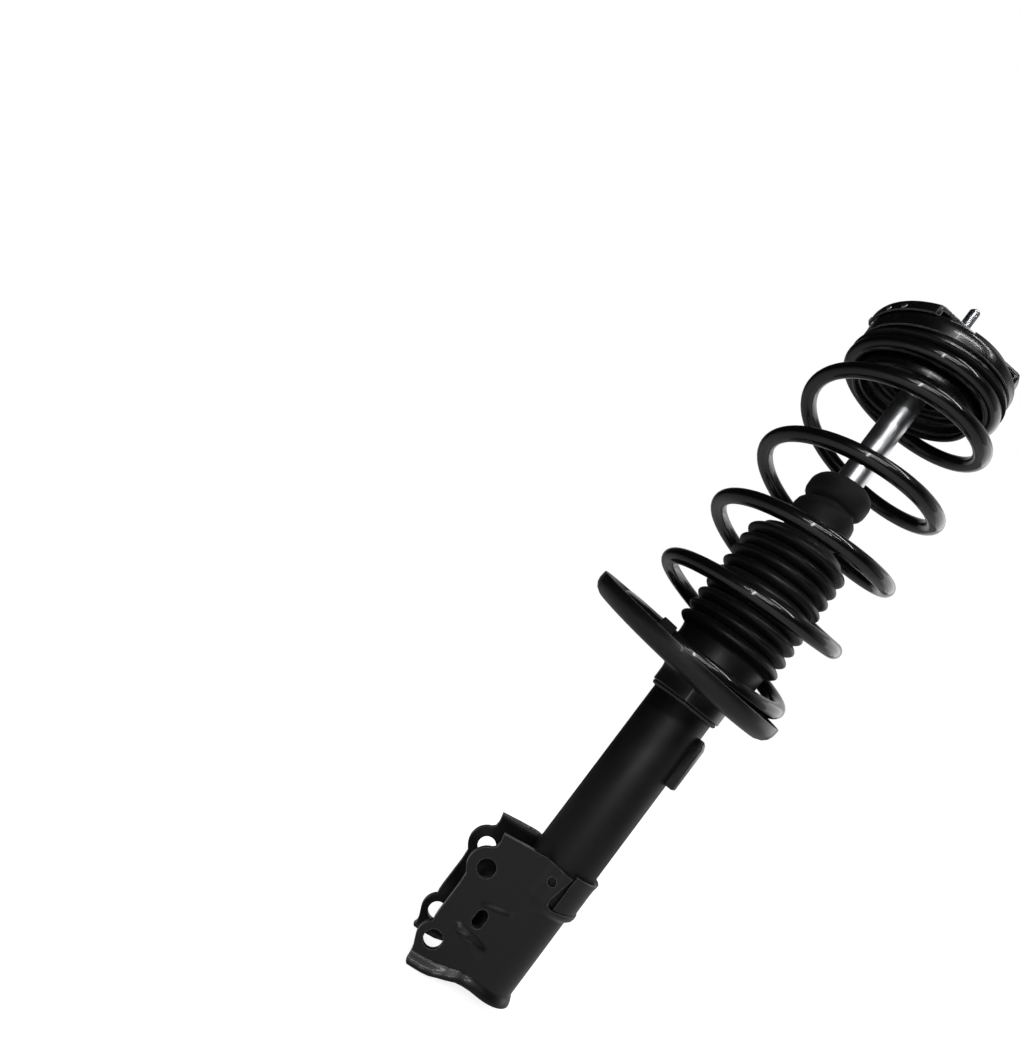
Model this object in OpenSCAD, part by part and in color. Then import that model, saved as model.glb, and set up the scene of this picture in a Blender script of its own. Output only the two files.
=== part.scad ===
// Complete MacPherson strut: damper, coil spring, spring seats and upper mount.
// The origin is the centre of the stud circle on the mount plate's top face.
// +Z runs up the strut's axis and -X points the way the knuckle bracket's ears point.

/* [Upper mount] */
// Radius of the mount plate's three lobes
plate_lobe_r = 60; // [58:0.5:66]
// Offset of the lobes' centre from the axis, towards the ears
plate_shift = 3.5; // [0:0.5:4]
// Distance from the axis to the mount plate's long straight side
plate_flat_r = 43; // [42:0.5:52]
// Distance from the axis to its two short straight sides
plate_side_r = 51; // [50:0.5:56]
// Thickness of the mount plate
plate_t = 3; // [2:0.5:4]
// Bore of the hole in the middle of the mount plate
plate_hole_d = 52; // [46:1:60]
// Outside radius of the housing's foot
housing_r = 60.5; // [56:0.5:68]
// Height of the housing below the mount plate
housing_h = 19; // [16:0.5:26]
// Wall of the pressed housing
housing_wall = 2.5; // [1.5:0.5:3.5]
// Radius of the rubber bush
bush_r = 30; // [26:0.5:34]
// Outside diameter of the bush's inner sleeve
sleeve_d = 26; // [23:0.5:30]

/* [Studs] */
// Diameter of the circle through the three studs
stud_pcd = 82; // [76:1:88]
// Thread diameter of the studs
stud_d = 8; // [6:1:10]
// Height of the studs above the mount plate
stud_len = 17.5; // [14:0.5:40]
// Diameter of the studs' necks in the plate
stud_neck_d = 8.8; // [7:0.1:11]
// Diameter of the studs' heads
stud_head_d = 16; // [13:0.5:18]
// Thickness of the studs' heads
stud_head_t = 3; // [2:0.5:4]
// Direction of the first stud about the axis
stud_dir = -109; // [-115:1:-100]

/* [Bearing] */
// Radius of the ball track
track_r = 48; // [46:0.5:50]
// Diameter of the bearing balls
ball_d = 5; // [4:0.5:6]
// Number of balls
ball_count = 24; // [12:1:30]
// Width of each race ring
race_w = 9; // [8:0.5:11]
// Thickness of each race ring
race_t = 3; // [2.5:0.5:4]
// Free height between the housing and the upper spring seat
bearing_gap = 3; // [2.5:0.5:5]

/* [Upper spring seat] */
// Outside radius of the upper seat's flange
upper_seat_r = 61; // [58:0.5:66]
// Sheet thickness of the upper seat
upper_seat_t = 2.5; // [1.5:0.5:3.5]
// Depth of the cup below the flange
cup_depth = 23.5; // [18:0.5:30]
// Thickness of both rubber spring pads
pad_t = 3; // [2:0.5:5]

/* [Spring] */
// Diameter of the spring wire
wire_d = 12.8; // [11:0.1:14]
// Mean radius of the spring at its waist
coil_r = 68; // [66:0.5:72]
// Mean radius of the spring's top turn
coil_top_r = 56.3; // [56.3:0.1:60]
// Drop of the last free turn's end below the closed top turn
coil_drop = 20; // [15:0.5:24]

/* [Piston rod] */
// Diameter of the piston rod
rod_d = 22; // [18:0.5:24]
// Diameter of the threaded neck at both ends of the rod
rod_neck_d = 14; // [12:1:16]
// Width of the top nut across its flats
nut_af = 22; // [19:1:24]
// Height of the top nut
nut_h = 10; // [8:0.5:12]
// Radial clearance of the rod in its guide and of the piston in its cylinder
running_fit = 0.05; // [0.03:0.01:0.09]

/* [Damper tube] */
// Outside diameter of the strut tube
tube_d = 51; // [48:0.5:54]
// Wall of the strut tube
tube_wall = 2.5; // [2:0.25:3.5]
// Length of the strut tube
tube_len = 288; // [270:1:320]
// Height of the tube's top below the mount plate's top face
tube_drop = 318; // [312:1:330]
// Outside diameter of the tube's necked lower end
tube_neck_d = 43; // [40.5:0.5:44]
// Bore of the pressure cylinder
cylinder_bore = 32; // [30:0.5:34]
// Wall of the pressure cylinder
cylinder_wall = 1.75; // [1.5:0.25:2.5]

/* [Lower spring seat] */
// Outside radius of the lower seat's rim
seat_r = 87; // [84:0.5:94]
// Distance of the lower seat's centre from the axis, towards the ears
seat_shift = 23; // [20:0.5:26]
// Height of the rim's centre below the mount plate's top face
seat_drop = 313; // [308:0.5:318]
// Depth of the dish from the rim to the underside
seat_depth = 16.5; // [15:0.5:22]
// Sheet thickness of the lower seat
seat_t = 2; // [1.75:0.25:3.5]
// Tilt of the lower seat
seat_tilt = 8.9; // [6:0.1:10]
// Direction about the axis in which the lower seat rises
seat_rise_dir = 119; // [100:1:140]
// Height of the collar's foot below the mount plate's top face
collar_drop = 349; // [345:0.5:360]
// Wall of the collar around the tube
collar_wall = 4; // [3:0.25:5]

/* [Boot and bump stop] */
// Outside radius of the boot's folds
boot_r = 43.5; // [40:0.5:45]
// Depth of the folds
fold_depth = 6; // [4:0.5:8]
// Height of one fold
fold_pitch = 11; // [9:0.5:12]
// Number of folds
fold_count = 9; // [6:1:9]
// Thickness of the boot's rubber
boot_t = 2.2; // [1.5:0.1:3]
// Radius of the bump stop's widest ring
bump_r = 25; // [22:0.5:28]
// Height of the bump stop
bump_h = 58.5; // [52:0.5:70]
// Clearance of the bump stop and the boot around the rod
rod_clearance = 0.4; // [0.3:0.05:1]

/* [Knuckle bracket] */
// Sheet thickness of the bracket
bracket_t = 4; // [3:0.25:5]
// Space between the two ears
ear_gap = 40; // [36:0.5:42]
// Distance from the axis to the bolt holes
bolt_x = 50; // [46:0.5:56]
// Distance between the two bolt holes
bolt_pitch = 62.5; // [58:0.5:68]
// Diameter of the bolt holes
bolt_hole_d = 14.6; // [12:0.2:16]
// Height of the upper bolt hole below the mount plate's top face
bolt_drop = 533; // [530:0.5:540]
// Radius of the lobe around the upper bolt hole
upper_lobe_r = 15; // [13:0.5:17]
// Radius of the lobe around the lower bolt hole
lower_lobe_r = 13; // [11.5:0.5:15]
// Width of the slots in the ears
slot_w = 9; // [7:0.5:11]
// Length of the slots in the ears
slot_len = 15; // [12:0.5:18]
// Reach of the flared lips beyond the ears
lip_reach = 6; // [4:0.5:8]
// Rise of the ears' lower lips from their tips to the barrel
lip_rise = 8; // [5:0.5:10]
// Depth of the notch in the back of the bracket's band
notch_depth = 25; // [18:1:27]

/* [Hose tab] */
// Length of the hose tab along the tube
tab_len = 43; // [36:1:50]
// Height of the hose tab off the tube
tab_h = 6.5; // [5:0.5:10]
// Sheet thickness of the hose tab
tab_t = 2; // [1.5:0.25:3]
// Direction of the hose tab about the axis
tab_dir = -29; // [-40:1:-15]
// Height of the tab's top below the mount plate's top face
tab_drop = 364; // [362:1:372]

/* [Hidden] */
$fn = 96;

eps = 0.01;
flat_dirs = [-83, 34, 130];
lobe_dirs = [-162, -19, 82];
lobe_spans = [31, 16, 11];
rivet_dirs = [-193, -166, -152, -12];

// Heights on the strut's axis
plate_bottom = -plate_t;
housing_bottom = plate_bottom - housing_h;
flange_top = housing_bottom - bearing_gap;
flange_bottom = flange_top - upper_seat_t;
pad_bottom = flange_bottom - pad_t;
coil_top_z = pad_bottom - wire_d / 2 - 0.05;
cup_r = coil_top_r - wire_d / 2 - 0.5;
cup_bottom = flange_bottom - cup_depth;
rod_shoulder = housing_bottom - 4;
striker_t = 2.5;
ceiling_bottom = flange_bottom - 5;

rod_r = rod_d / 2;
neck_r = rod_neck_d / 2;
tube_r = tube_d / 2;
tube_bore_r = tube_r - tube_wall;
neck_bore_r = tube_neck_d / 2 - tube_wall;
tube_top = -tube_drop;
tube_bottom = tube_top - tube_len;
cylinder_r = cylinder_bore / 2;

// Inside the damper
cap_t = 4;
seal_t = 5;
guide_h = 14;
cap_bottom = tube_top - cap_t;
seal_bottom = cap_bottom - seal_t;
guide_bottom = seal_bottom - guide_h;
rebound_h = 8;
rebound_top = guide_bottom - 0.3;
rebound_bottom = rebound_top - rebound_h;
piston_h = 14;
piston_top = rebound_bottom - 6;
piston_bottom = piston_top - piston_h;
disc_t = 1.8;
piston_nut_h = 7;
rod_bottom = piston_bottom - disc_t - piston_nut_h - 1.5;
end_cap_t = 5;
base_valve_h = 12;
base_valve_bottom = tube_bottom + end_cap_t;

// Lower seat, in its own tilted frame with the rim's plane at zero height
seat_rise = tan(seat_tilt);
function rim_z(x, y) = -seat_drop + seat_rise * (cos(seat_rise_dir) * (x + seat_shift)
                                                 + sin(seat_rise_dir) * y);
seat_floor = -(seat_depth - seat_t);
collar_r = tube_r + collar_wall;

// Boot and bump stop
boot_hole_r = rod_r + rod_clearance;
boot_bottom = tube_top - 4.5;
folds_bottom = tube_top + 20;
skirt_r = boot_r - fold_depth - 1;
folds_top = folds_bottom + fold_count * fold_pitch;
boot_top = folds_top + 5;
bump_bottom = boot_top;
bump_top = bump_bottom + bump_h;

// Knuckle bracket
band_r = tube_r + bracket_t;
neck_out_r = tube_neck_d / 2;
barrel_r = neck_out_r + bracket_t;
ear_in = ear_gap / 2;
ear_out = ear_in + bracket_t;
barrel_edge_x = -sqrt(neck_out_r * neck_out_r - ear_in * ear_in);
band_edge_x = -sqrt(tube_r * tube_r - ear_in * ear_in);
ear_root_x = barrel_edge_x + 5;
upper_bolt_z = -bolt_drop;
lower_bolt_z = upper_bolt_z - bolt_pitch;
ear_top = upper_bolt_z + 30;
barrel_top = ear_top + 3;
ear_bottom = lower_bolt_z - 17;
barrel_bottom = ear_bottom + 9;
band_bottom = barrel_top - notch_depth;
neck_top = band_bottom;
neck_bottom = neck_top - 6;
ear_edge_x = -bolt_x - 7.5;
ear_tip_x = -bolt_x - 5.5;
slot_x = -bolt_x + 18.3;
slot_z = (upper_bolt_z + lower_bolt_z) / 2;

// The coil's centreline, with n counted in turns from the right-hand side of its first free turn
coil_start = -1;
coil_end = 5.05;
coil_steps = 24;
coil_sides = 10;
coil_phase = -18;
coil_lift = -0.485;
coil_free = -0.015;
coil_close = 4;
coil_closed = 4.6;
coil_lean_top = [-0.123, 0.008];
coil_lean_bottom = seat_rise * [cos(seat_rise_dir), sin(seat_rise_dir)];
coil_low_z = rim_z(0, 0) + (seat_floor + pad_t + wire_d / 2) / cos(seat_tilt) + 0.2;
coil_close_z = coil_top_z - coil_drop;
coil_pitch = (coil_close_z - coil_low_z) / ((coil_free - coil_lift) / 2 + coil_close - coil_free);
coil_slope = coil_pitch / (2 * (coil_free - coil_lift));
coil_free_z = coil_low_z + coil_slope * pow(coil_free - coil_lift, 2);

function clamp01(t) = max(0, min(1, t));
function ease(t) = clamp01(t) * clamp01(t) * (3 - 2 * clamp01(t));
function mix(a, b, t) = a + (b - a) * t;
function coil_height(n) =
    n < coil_lift ? coil_low_z :
    n < coil_free ? coil_low_z + coil_slope * pow(n - coil_lift, 2) :
    n < coil_close ? coil_free_z + coil_pitch * (n - coil_free) :
    mix(coil_close_z, coil_top_z, 1 - pow(1 - clamp01((n - coil_close) / (coil_closed - coil_close)), 2));
function coil_lean(n) = mix(coil_lean_bottom, coil_lean_top, clamp01(n / coil_close))
                        * (1 - ease((n - coil_close) / (coil_closed - coil_close)));
function coil_radius(n) = mix(coil_r - 0.33 * pow(n - 2, 2), coil_top_r, ease((n - 3.9) / 0.65));
function coil_shift(n) = n < 3 ? -(seat_shift - 1) * pow((3 - n) / 4, 2) : 0;
function coil_xy(n) = [coil_shift(n) + coil_radius(n) * cos(360 * n + coil_phase),
                       coil_radius(n) * sin(360 * n + coil_phase)];
function coil_point(n) = let (p = coil_xy(n)) [p[0], p[1], coil_height(n) + coil_lean(n) * p];

function unit(v) = v / norm(v);
function ring_around(p, along, radius, sides) =
    let (side = unit(cross(along, [0, 0, 1])), up = cross(side, along))
    [for (k = [0 : sides - 1])
        p + radius * (cos(360 * k / sides) * side + sin(360 * k / sides) * up)];

// A closed tube along a list of points
module sweep(points, radius, sides) {
    last = len(points) - 1;
    rings = [for (i = [0 : last])
        ring_around(points[i], unit(points[min(i + 1, last)] - points[max(i - 1, 0)]), radius, sides)];
    walls = [for (i = [0 : last - 1]) for (k = [0 : sides - 1])
        let (a = i * sides + k, b = i * sides + (k + 1) % sides)
        [a, b, b + sides, a + sides]];
    start_face = [[for (k = [sides - 1 : -1 : 0]) k]];
    end_face = [[for (k = [0 : sides - 1]) last * sides + k]];
    polyhedron([for (r = rings) for (p = r) p], concat(start_face, walls, end_face), convexity = 10);
}

// A straight-sided ring
module ring(outer, inner, low, high) {
    difference() {
        translate([0, 0, low]) cylinder(r = outer, h = high - low);
        translate([0, 0, low - 1]) cylinder(r = inner, h = high - low + 2);
    }
}

// A wedge from the axis that spans two directions
module sector(from, to, reach, low, high) {
    rotate([0, 0, from]) rotate_extrude(angle = to - from) translate([0, low]) square([reach, high - low]);
}

// The lower seat's own frame
module on_seat() {
    translate([-seat_shift, 0, -seat_drop])
        rotate([0, 0, seat_rise_dir])
            rotate([0, -seat_tilt, 0])
                children();
}

// The space around each stud
module at_studs() {
    for (k = [0 : 2]) rotate([0, 0, stud_dir + 120 * k]) translate([stud_pcd / 2, 0, 0]) children();
}

// The mount plate's outline: a circle cut to three straight sides
module plate_outline() {
    difference() {
        translate([-plate_shift, 0]) circle(r = plate_lobe_r);
        rotate(flat_dirs[0]) translate([plate_flat_r, -plate_lobe_r]) square(2 * plate_lobe_r);
        rotate(flat_dirs[1]) translate([plate_side_r, -plate_lobe_r]) square(2 * plate_lobe_r);
        rotate(flat_dirs[2]) translate([plate_side_r, -plate_lobe_r]) square(2 * plate_lobe_r);
    }
}

module mount_plate() {
    rim_h = 6;
    color([0.09, 0.09, 0.1]) difference() {
        union() {
            translate([0, 0, plate_bottom]) linear_extrude(plate_t) plate_outline();
            translate([-plate_shift, 0, 0]) intersection() {
                ring(plate_lobe_r, plate_lobe_r - housing_wall, plate_bottom - rim_h, plate_bottom + eps);
                for (k = [0 : 2])
                    sector(lobe_dirs[k] - lobe_spans[k], lobe_dirs[k] + lobe_spans[k],
                           plate_lobe_r + 1, plate_bottom - rim_h, 0);
            }
        }
        translate([0, 0, plate_bottom - 1]) cylinder(d = plate_hole_d, h = plate_t + 2);
        at_studs() translate([0, 0, plate_bottom - 1]) cylinder(d = stud_neck_d, h = plate_t + 2);
    }
}

module mount_studs() {
    chamfer = 1;
    color([0.75, 0.76, 0.78]) at_studs() {
        translate([0, 0, plate_bottom - stud_head_t]) cylinder(d = stud_head_d, h = stud_head_t);
        translate([0, 0, plate_bottom - eps]) cylinder(d = stud_neck_d, h = plate_t + eps);
        translate([0, 0, -eps]) cylinder(d = stud_d, h = stud_len - chamfer + eps);
        translate([0, 0, stud_len - chamfer])
            cylinder(r1 = stud_d / 2, r2 = stud_d / 2 - chamfer, h = chamfer);
    }
}

module mount_housing() {
    lobe_r = plate_lobe_r - housing_wall - 0.5;
    shoulder_r = 40;
    well_r = 29;
    pocket_r = stud_head_d / 2 + 1.5;
    cavity_r = min(housing_r - housing_wall, track_r + race_w / 2 + 1.5);
    color([0.1, 0.1, 0.11]) difference() {
        union() {
            rotate_extrude() polygon([
                [0, housing_bottom], [housing_r, housing_bottom], [housing_r, housing_bottom + 8],
                [housing_r - 2, housing_bottom + 11], [shoulder_r + 6, plate_bottom - 3],
                [shoulder_r, plate_bottom], [0, plate_bottom]]);
            translate([-plate_shift, 0, 0]) intersection() {
                translate([0, 0, housing_bottom + 5]) cylinder(r = lobe_r, h = housing_h - 5);
                for (k = [0 : 2])
                    sector(lobe_dirs[k] - lobe_spans[k], lobe_dirs[k] + lobe_spans[k],
                           lobe_r, housing_bottom + 5, plate_bottom);
            }
        }
        translate([0, 0, housing_bottom - 1]) cylinder(r = bush_r, h = housing_h + 2);
        at_studs() translate([0, 0, plate_bottom - stud_head_t - 1]) cylinder(r = pocket_r, h = stud_head_t + 2);
        ring(cavity_r, well_r + 9, housing_bottom - 1, housing_bottom + race_t + 2.5);
    }
}

module plate_rivets() {
    color([0.78, 0.79, 0.8]) for (a = rivet_dirs)
        translate([-plate_shift, 0, 0]) rotate([0, 0, a])
            translate([plate_lobe_r - eps, 0, plate_bottom - 3])
                rotate([0, 90, 0]) cylinder(r1 = 2, r2 = 1.2, h = 0.8);
}

module mount_rubber() {
    waist = 3;
    color([0.05, 0.05, 0.05]) rotate_extrude() polygon([
        [sleeve_d / 2, housing_bottom], [bush_r, housing_bottom], [bush_r, plate_bottom - 1],
        [bush_r - 4, plate_bottom], [sleeve_d / 2 + 4, plate_bottom - waist],
        [sleeve_d / 2, plate_bottom - waist]]);
}

module inner_sleeve() {
    color([0.5, 0.5, 0.52]) ring(sleeve_d / 2, neck_r, rod_shoulder, -1);
}

module rod_washer() {
    color([0.6, 0.6, 0.62]) ring(sleeve_d / 2 + 3, neck_r, -1, 1.5);
}

module rod_nut() {
    color([0.72, 0.73, 0.75]) difference() {
        translate([0, 0, 1.5]) cylinder(r = nut_af / sqrt(3), h = nut_h, $fn = 6);
        translate([0, 0, 0]) cylinder(r = neck_r, h = nut_h + 3);
    }
}

module striker_cup() {
    cup_outer_r = 28.5;
    color([0.16, 0.16, 0.17]) rotate_extrude() polygon([
        [neck_r, rod_shoulder], [cup_outer_r - 1.5, rod_shoulder], [cup_outer_r, rod_shoulder - 2],
        [cup_outer_r, ceiling_bottom - 3], [cup_outer_r - striker_t, ceiling_bottom - 3],
        [cup_outer_r - striker_t, rod_shoulder - striker_t], [neck_r, rod_shoulder - striker_t]]);
}

module piston_rod() {
    shoulder = rod_shoulder - striker_t;
    thread_top = 1.5 + nut_h + 2;
    lower_neck_r = rod_r - 4;
    color([0.85, 0.86, 0.88]) {
        translate([0, 0, piston_top]) cylinder(r = rod_r, h = shoulder - piston_top);
        translate([0, 0, shoulder - eps]) cylinder(r = neck_r, h = thread_top - shoulder - 1);
        translate([0, 0, thread_top - 1 - 2 * eps]) cylinder(r1 = neck_r, r2 = neck_r - 1, h = 1);
        translate([0, 0, rod_bottom]) cylinder(r = lower_neck_r, h = piston_top - rod_bottom + eps);
    }
}

module bearing_upper_race() {
    top = housing_bottom + race_t + 2.5;
    ball_z = flange_top + ball_d / 2 + 1.4;
    color([0.6, 0.61, 0.63]) difference() {
        ring(track_r + race_w / 2, track_r - race_w / 2, top - race_t, top);
        rotate_extrude() translate([track_r, ball_z]) circle(r = ball_d / 2 + 0.3);
    }
}

module bearing_balls() {
    ball_z = flange_top + ball_d / 2 + 1.4;
    color([0.8, 0.8, 0.82]) for (k = [0 : ball_count - 1])
        rotate([0, 0, 360 * k / ball_count]) translate([track_r, 0, ball_z]) sphere(d = ball_d);
}

module bearing_lower_race() {
    ball_z = flange_top + ball_d / 2 + 1.4;
    color([0.6, 0.61, 0.63]) difference() {
        ring(track_r + race_w / 2, track_r - race_w / 2, flange_top, flange_top + race_t);
        rotate_extrude() translate([track_r, ball_z]) circle(r = ball_d / 2);
    }
}

module upper_spring_seat() {
    step_r = cup_r - 6;
    mouth_r = 32;
    color([0.07, 0.07, 0.075]) rotate_extrude() polygon([
        [mouth_r, flange_top], [upper_seat_r, flange_top], [upper_seat_r, flange_bottom],
        [cup_r, flange_bottom], [cup_r, cup_bottom + 3], [cup_r - 1, cup_bottom + 1],
        [cup_r - 2.5, cup_bottom], [cup_r - 4, cup_bottom + 1], [cup_r - 4, cup_bottom + 4],
        [step_r, cup_bottom + 5], [step_r, ceiling_bottom - 4], [step_r - 4, ceiling_bottom],
        [mouth_r, ceiling_bottom]]);
}

module upper_spring_pad() {
    color([0.03, 0.03, 0.03]) ring(coil_top_r + wire_d / 2, cup_r + 0.1, pad_bottom, flange_bottom);
}

module coil_spring() {
    count = round((coil_end - coil_start) * coil_steps);
    color([0.05, 0.05, 0.055])
        sweep([for (i = [0 : count]) coil_point(mix(coil_start, coil_end, i / count))], wire_d / 2, coil_sides);
}

module rebound_stop() {
    color([0.4, 0.4, 0.42]) ring(cylinder_r - 1.5, rod_r, rebound_bottom, rebound_top);
}

module piston() {
    passage_r = 1.5;
    passage_ring = (rod_r - 4 + cylinder_r) / 2;
    groove = 1;
    band_h = 8;
    color([0.45, 0.45, 0.47]) difference() {
        ring(cylinder_r - 0.3, rod_r - 4, piston_bottom, piston_top);
        ring(cylinder_r + 1, cylinder_r - groove, piston_bottom + 3, piston_bottom + 3 + band_h);
        for (k = [0 : 5]) rotate([0, 0, 60 * k]) translate([passage_ring, 0, piston_bottom - 1])
            cylinder(r = passage_r, h = piston_h + 2);
    }
}

module piston_band() {
    band_h = 8;
    color([0.2, 0.2, 0.2]) ring(cylinder_r - running_fit, cylinder_r - 1, piston_bottom + 3,
                                piston_bottom + 3 + band_h);
}

module valve_discs() {
    disc_r = cylinder_r - 2.2;
    color([0.7, 0.7, 0.72]) ring(disc_r, rod_r - 4, piston_bottom - disc_t, piston_bottom);
}

module piston_nut() {
    color([0.5, 0.5, 0.52]) difference() {
        translate([0, 0, piston_bottom - disc_t - piston_nut_h]) cylinder(r = 11, h = piston_nut_h, $fn = 6);
        translate([0, 0, piston_bottom - disc_t - piston_nut_h - 1]) cylinder(r = rod_r - 4, h = piston_nut_h + 2);
    }
}

module strut_tube() {
    color([0.08, 0.08, 0.085]) rotate_extrude() polygon([
        [tube_r, cap_bottom], [tube_r, neck_top], [neck_out_r, neck_bottom], [neck_out_r, tube_bottom],
        [neck_bore_r, tube_bottom], [neck_bore_r, neck_bottom], [tube_bore_r, neck_top],
        [tube_bore_r, cap_bottom]]);
}

module tube_end_cap() {
    color([0.09, 0.09, 0.1]) difference() {
        translate([0, 0, tube_bottom]) cylinder(r = neck_bore_r, h = end_cap_t);
        translate([0, 0, tube_bottom - 1]) cylinder(r = neck_bore_r - 5, h = 3);
    }
}

module pressure_cylinder() {
    color([0.5, 0.5, 0.52])
        ring(cylinder_r + cylinder_wall, cylinder_r, base_valve_bottom + base_valve_h - 4, guide_bottom + 4);
}

module base_valve() {
    foot_r = cylinder_r + cylinder_wall;
    color([0.55, 0.5, 0.3]) difference() {
        union() {
            translate([0, 0, base_valve_bottom]) cylinder(r = foot_r, h = base_valve_h - 4);
            translate([0, 0, base_valve_bottom + base_valve_h - 4 - eps]) cylinder(r = cylinder_r, h = 4);
        }
        for (k = [0 : 3]) rotate([0, 0, 90 * k]) translate([9, 0, base_valve_bottom - 1])
            cylinder(r = 1.5, h = base_valve_h + 2);
    }
}

module rod_guide() {
    color([0.48, 0.46, 0.42]) difference() {
        union() {
            ring(tube_bore_r, rod_r + running_fit, guide_bottom + 4, seal_bottom);
            ring(cylinder_r, rod_r + running_fit, guide_bottom, guide_bottom + 4 + eps);
        }
    }
}

module rod_seal() {
    color([0.04, 0.04, 0.04]) ring(tube_bore_r, rod_r + running_fit, seal_bottom, cap_bottom);
}

module tube_cap() {
    color([0.1, 0.1, 0.1]) ring(tube_r, rod_r + rod_clearance, cap_bottom, tube_top);
}

// Half an outline of the boot: a skirt, a bellows whose folds follow a cosine, and a closed top
function fold_wave(t) = boot_r - fold_depth * (1 + cos(360 * t)) / 2 - 1.5 * t / fold_count;
module boot_profile(inset) {
    fold_points = [for (i = [0 : fold_count * 8]) let (t = i / 8)
        [fold_wave(t) - inset, folds_bottom + t * fold_pitch]];
    polygon(concat(
        [[0, boot_bottom], [skirt_r - inset, boot_bottom]],
        fold_points,
        [[boot_r - fold_depth - 6 - inset, boot_top - inset], [0, boot_top - inset]]));
}

module dust_boot() {
    color([0.06, 0.06, 0.06]) difference() {
        rotate_extrude() boot_profile(0);
        translate([0, 0, -eps]) rotate_extrude() boot_profile(boot_t);
        translate([0, 0, boot_bottom - 1]) cylinder(r = tube_r + 2, h = 3);
        translate([0, 0, folds_top]) cylinder(r = boot_hole_r, h = 20);
    }
}

// Half an outline of the bump stop: rounded rings with grooves between them
module bump_stop() {
    groove_r = 0.78 * bump_r;
    color([0.05, 0.05, 0.05]) difference() {
        union() {
            translate([0, 0, bump_bottom]) cylinder(r = groove_r, h = bump_h);
            rotate_extrude() polygon([
                [0, bump_bottom + 6], [groove_r, bump_bottom + 6], [bump_r - 1, bump_bottom + 10],
                [bump_r, bump_bottom + 16], [bump_r, bump_bottom + 26], [bump_r - 1, bump_bottom + 32],
                [groove_r, bump_bottom + 36], [0, bump_bottom + 36]]);
            rotate_extrude() polygon([
                [0, bump_top - 21], [bump_r - 3, bump_top - 20], [bump_r, bump_top - 15],
                [bump_r, bump_top - 6], [bump_r - 5.5, bump_top], [0, bump_top]]);
        }
        translate([0, 0, bump_bottom - 1]) cylinder(r = boot_hole_r, h = bump_h + 2);
    }
}

module lower_spring_seat() {
    corner = 8;
    inner_r = seat_r - seat_t;
    outer = concat([[seat_r, 0]],
        [for (a = [0 : 15 : 90]) [seat_r - corner + corner * cos(a), -(seat_depth - corner) - corner * sin(a)]]);
    inner = [for (a = [90 : -15 : 0])
        [inner_r - corner + seat_t + (corner - seat_t) * cos(a),
         -(seat_depth - corner) - (corner - seat_t) * sin(a)]];
    color([0.08, 0.08, 0.085]) difference() {
        union() {
            on_seat() rotate_extrude() polygon(concat(outer, [[0, -seat_depth], [0, seat_floor]], inner, [[inner_r, 0]]));
            translate([0, 0, -collar_drop]) cylinder(r = collar_r, h = collar_drop + rim_z(0, 0) + seat_floor);
        }
        translate([0, 0, -collar_drop - 1]) cylinder(r = tube_r, h = collar_drop);
    }
}

module lower_spring_pad() {
    outer_r = seat_r - 11;
    step_h = 21;
    color([0.03, 0.03, 0.03]) on_seat() union() {
        ring(outer_r, collar_r + seat_shift + 5, seat_floor, seat_floor + pad_t);
        intersection() {
            ring(outer_r, outer_r - 5, seat_floor, seat_floor + step_h);
            rotate([0, 0, -seat_rise_dir]) sector(-126, -116, seat_r, seat_floor, step_h);
        }
    }
}

module seat_weld() {
    bead = 3.2;
    color([0.13, 0.13, 0.13]) rotate_extrude() translate([tube_r, -collar_drop]) intersection() {
        circle(r = bead);
        translate([0, -bead]) square([bead, bead]);
    }
}

// Outline of an ear, with X as the distance along -X and Y as the height
module ear_outline() {
    polygon([
        [ear_root_x, barrel_top], [-bolt_x - 5, ear_top - 3], [-bolt_x - 5, ear_top - 14],
        [ear_edge_x, upper_bolt_z - 6], [ear_edge_x, lower_bolt_z + 8],
        [ear_tip_x, lower_bolt_z - 10], [ear_tip_x, ear_bottom], [ear_root_x, ear_bottom + lip_rise]]);
    translate([-bolt_x, upper_bolt_z]) circle(r = upper_lobe_r);
    translate([-bolt_x, lower_bolt_z]) circle(r = lower_lobe_r);
}

module ear_holes() {
    translate([-bolt_x, upper_bolt_z]) circle(d = bolt_hole_d);
    translate([-bolt_x, lower_bolt_z]) circle(d = bolt_hole_d);
    translate([slot_x, slot_z - (slot_len - slot_w) / 2]) circle(d = slot_w);
    translate([slot_x, slot_z + (slot_len - slot_w) / 2]) circle(d = slot_w);
    translate([slot_x - slot_w / 2, slot_z - (slot_len - slot_w) / 2]) square([slot_w, slot_len - slot_w]);
}

// One ear with its flared lips, on the +Y side
module ear() {
    lip_len = barrel_edge_x - ear_tip_x - 2;
    top_lip_len = band_edge_x - ear_tip_x - 4;
    translate([0, ear_out, 0]) rotate([90, 0, 0]) linear_extrude(bracket_t) difference() {
        ear_outline();
        ear_holes();
    }
    translate([ear_tip_x + 1, 0, ear_top - 3]) rotate([90, 0, 90]) linear_extrude(top_lip_len) polygon([
        [ear_in + 0.5, -1], [ear_out - 0.5, -5], [ear_out + lip_reach - 2, -1],
        [ear_out + lip_reach - 3, 2], [ear_out - 1, 0.5]]);
    translate([ear_tip_x, 0, ear_bottom])
        rotate([0, -atan(lip_rise / (ear_root_x - ear_tip_x)), 0])
            rotate([90, 0, 90]) linear_extrude(lip_len) polygon([
                [ear_in + 0.5, 1], [ear_out - 0.5, 4], [ear_out + lip_reach, -2],
                [ear_out + lip_reach - 1.5, -2 - bracket_t + 0.5], [ear_in + 2, -1.5]]);
}

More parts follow.
